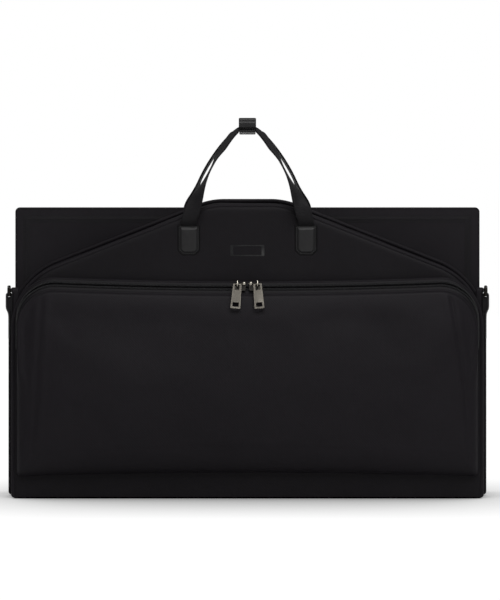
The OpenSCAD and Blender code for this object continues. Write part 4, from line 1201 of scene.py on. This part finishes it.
floor_mesh = bpy.data.meshes.new("floor")
floor_mesh.from_pydata([(-30, -30, 0), (30, -30, 0), (30, 30, 0), (-30, 30, 0)], [], [(0, 1, 2, 3)])
floor = placed("floor", floor_mesh)
floor_paint, tree, shader = blank("floor_paint")
# The floor's contact shadow is painted: ambient occlusion darkens its colour near the bag, which also dims
# the light it throws back onto the bag's underside, and dims its glow to the camera there
floor_open = node(tree, "AmbientOcclusion", {"Distance": 0.24}, samples=24).outputs["AO"]
floor_shaded_colour = math_node(tree, "MINIMUM", math_node(tree, "MULTIPLY", floor_open, 1.25), 0.9)
feed(tree, shader, {"Base Color": floor_shaded_colour, "Roughness": 0.9})
floor_painted_shadow = math_node(tree, "MULTIPLY_ADD", floor_open, 1.2, -0.16)
floor_glow = node(tree, "Emission", {"Color": (1, 1, 1, 1), "Strength": floor_painted_shadow}).outputs[0]
floor_seen = math_node(tree, "MULTIPLY", node(tree, "LightPath").outputs["Is Camera Ray"], 0.97)
floor_mix = node(tree, "MixShader", {0: floor_seen, 1: shader.outputs[0], 2: floor_glow}).outputs[0]
feed(tree, tree.nodes["Material Output"], {0: floor_mix})
paint(floor, floor_paint)
floor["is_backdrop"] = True

world = bpy.data.worlds.new("surround")
bpy.context.scene.world = world
world.use_nodes = True
sky = world.node_tree
sky_light = sky.nodes["Background"]
feed(sky, sky_light, {"Color": (1, 1, 1, 1), "Strength": 0.24})
sky_seen = node(sky, "Background", {"Color": (1, 1, 1, 1), "Strength": 1.0}).outputs[0]
sky_ray = node(sky, "LightPath").outputs["Is Camera Ray"]
sky_mix = node(sky, "MixShader", {0: sky_ray, 1: sky_light.outputs[0], 2: sky_seen}).outputs[0]
feed(sky, sky.nodes["World Output"], {0: sky_mix})


lit_place = Vector((0, 0, 0.2))


def soft_lamp(name, place, size, watts):
    """A soft lamp, as wide and high as its size, at a place and turned towards the bag."""
    data = bpy.data.lights.new(name, "AREA")
    give(data, shape="RECTANGLE", size=size[0], size_y=size[1], energy=watts)
    turn = (lit_place - Vector(place)).to_track_quat("-Z", "Y").to_euler()
    return give(placed(name, data), location=place, rotation_euler=turn)


soft_lamp("key", (0.4, -1.6, 2.4), (2.4, 1.2), 62)
soft_lamp("fill_left", (-0.3, -2.4, 0.9), (1.2, 1.6), 1.5)
soft_lamp("fill_right", (1.0, -2.4, 0.9), (1.2, 1.6), 3.5)
soft_lamp("back", (-0.5, 2.6, 0.25), (1.6, 0.4), 14).visible_glossy = False

view_distance = 2.6
view_height = 249 * mm
focal_px = 2031
frame_long_px = 600
sensor_w = 36
camera_data = give(bpy.data.cameras.new("camera"), sensor_width=sensor_w, shift_x=0.0043, clip_end=100,
                   lens=sensor_w * focal_px / frame_long_px)
camera = placed("camera", camera_data)
give(camera, location=(0, -view_distance, view_height), rotation_euler=(math.pi / 2, 0, 0))
bpy.context.scene.camera = camera
bpy.context.scene.view_settings.view_transform = "Standard"

low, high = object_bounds()
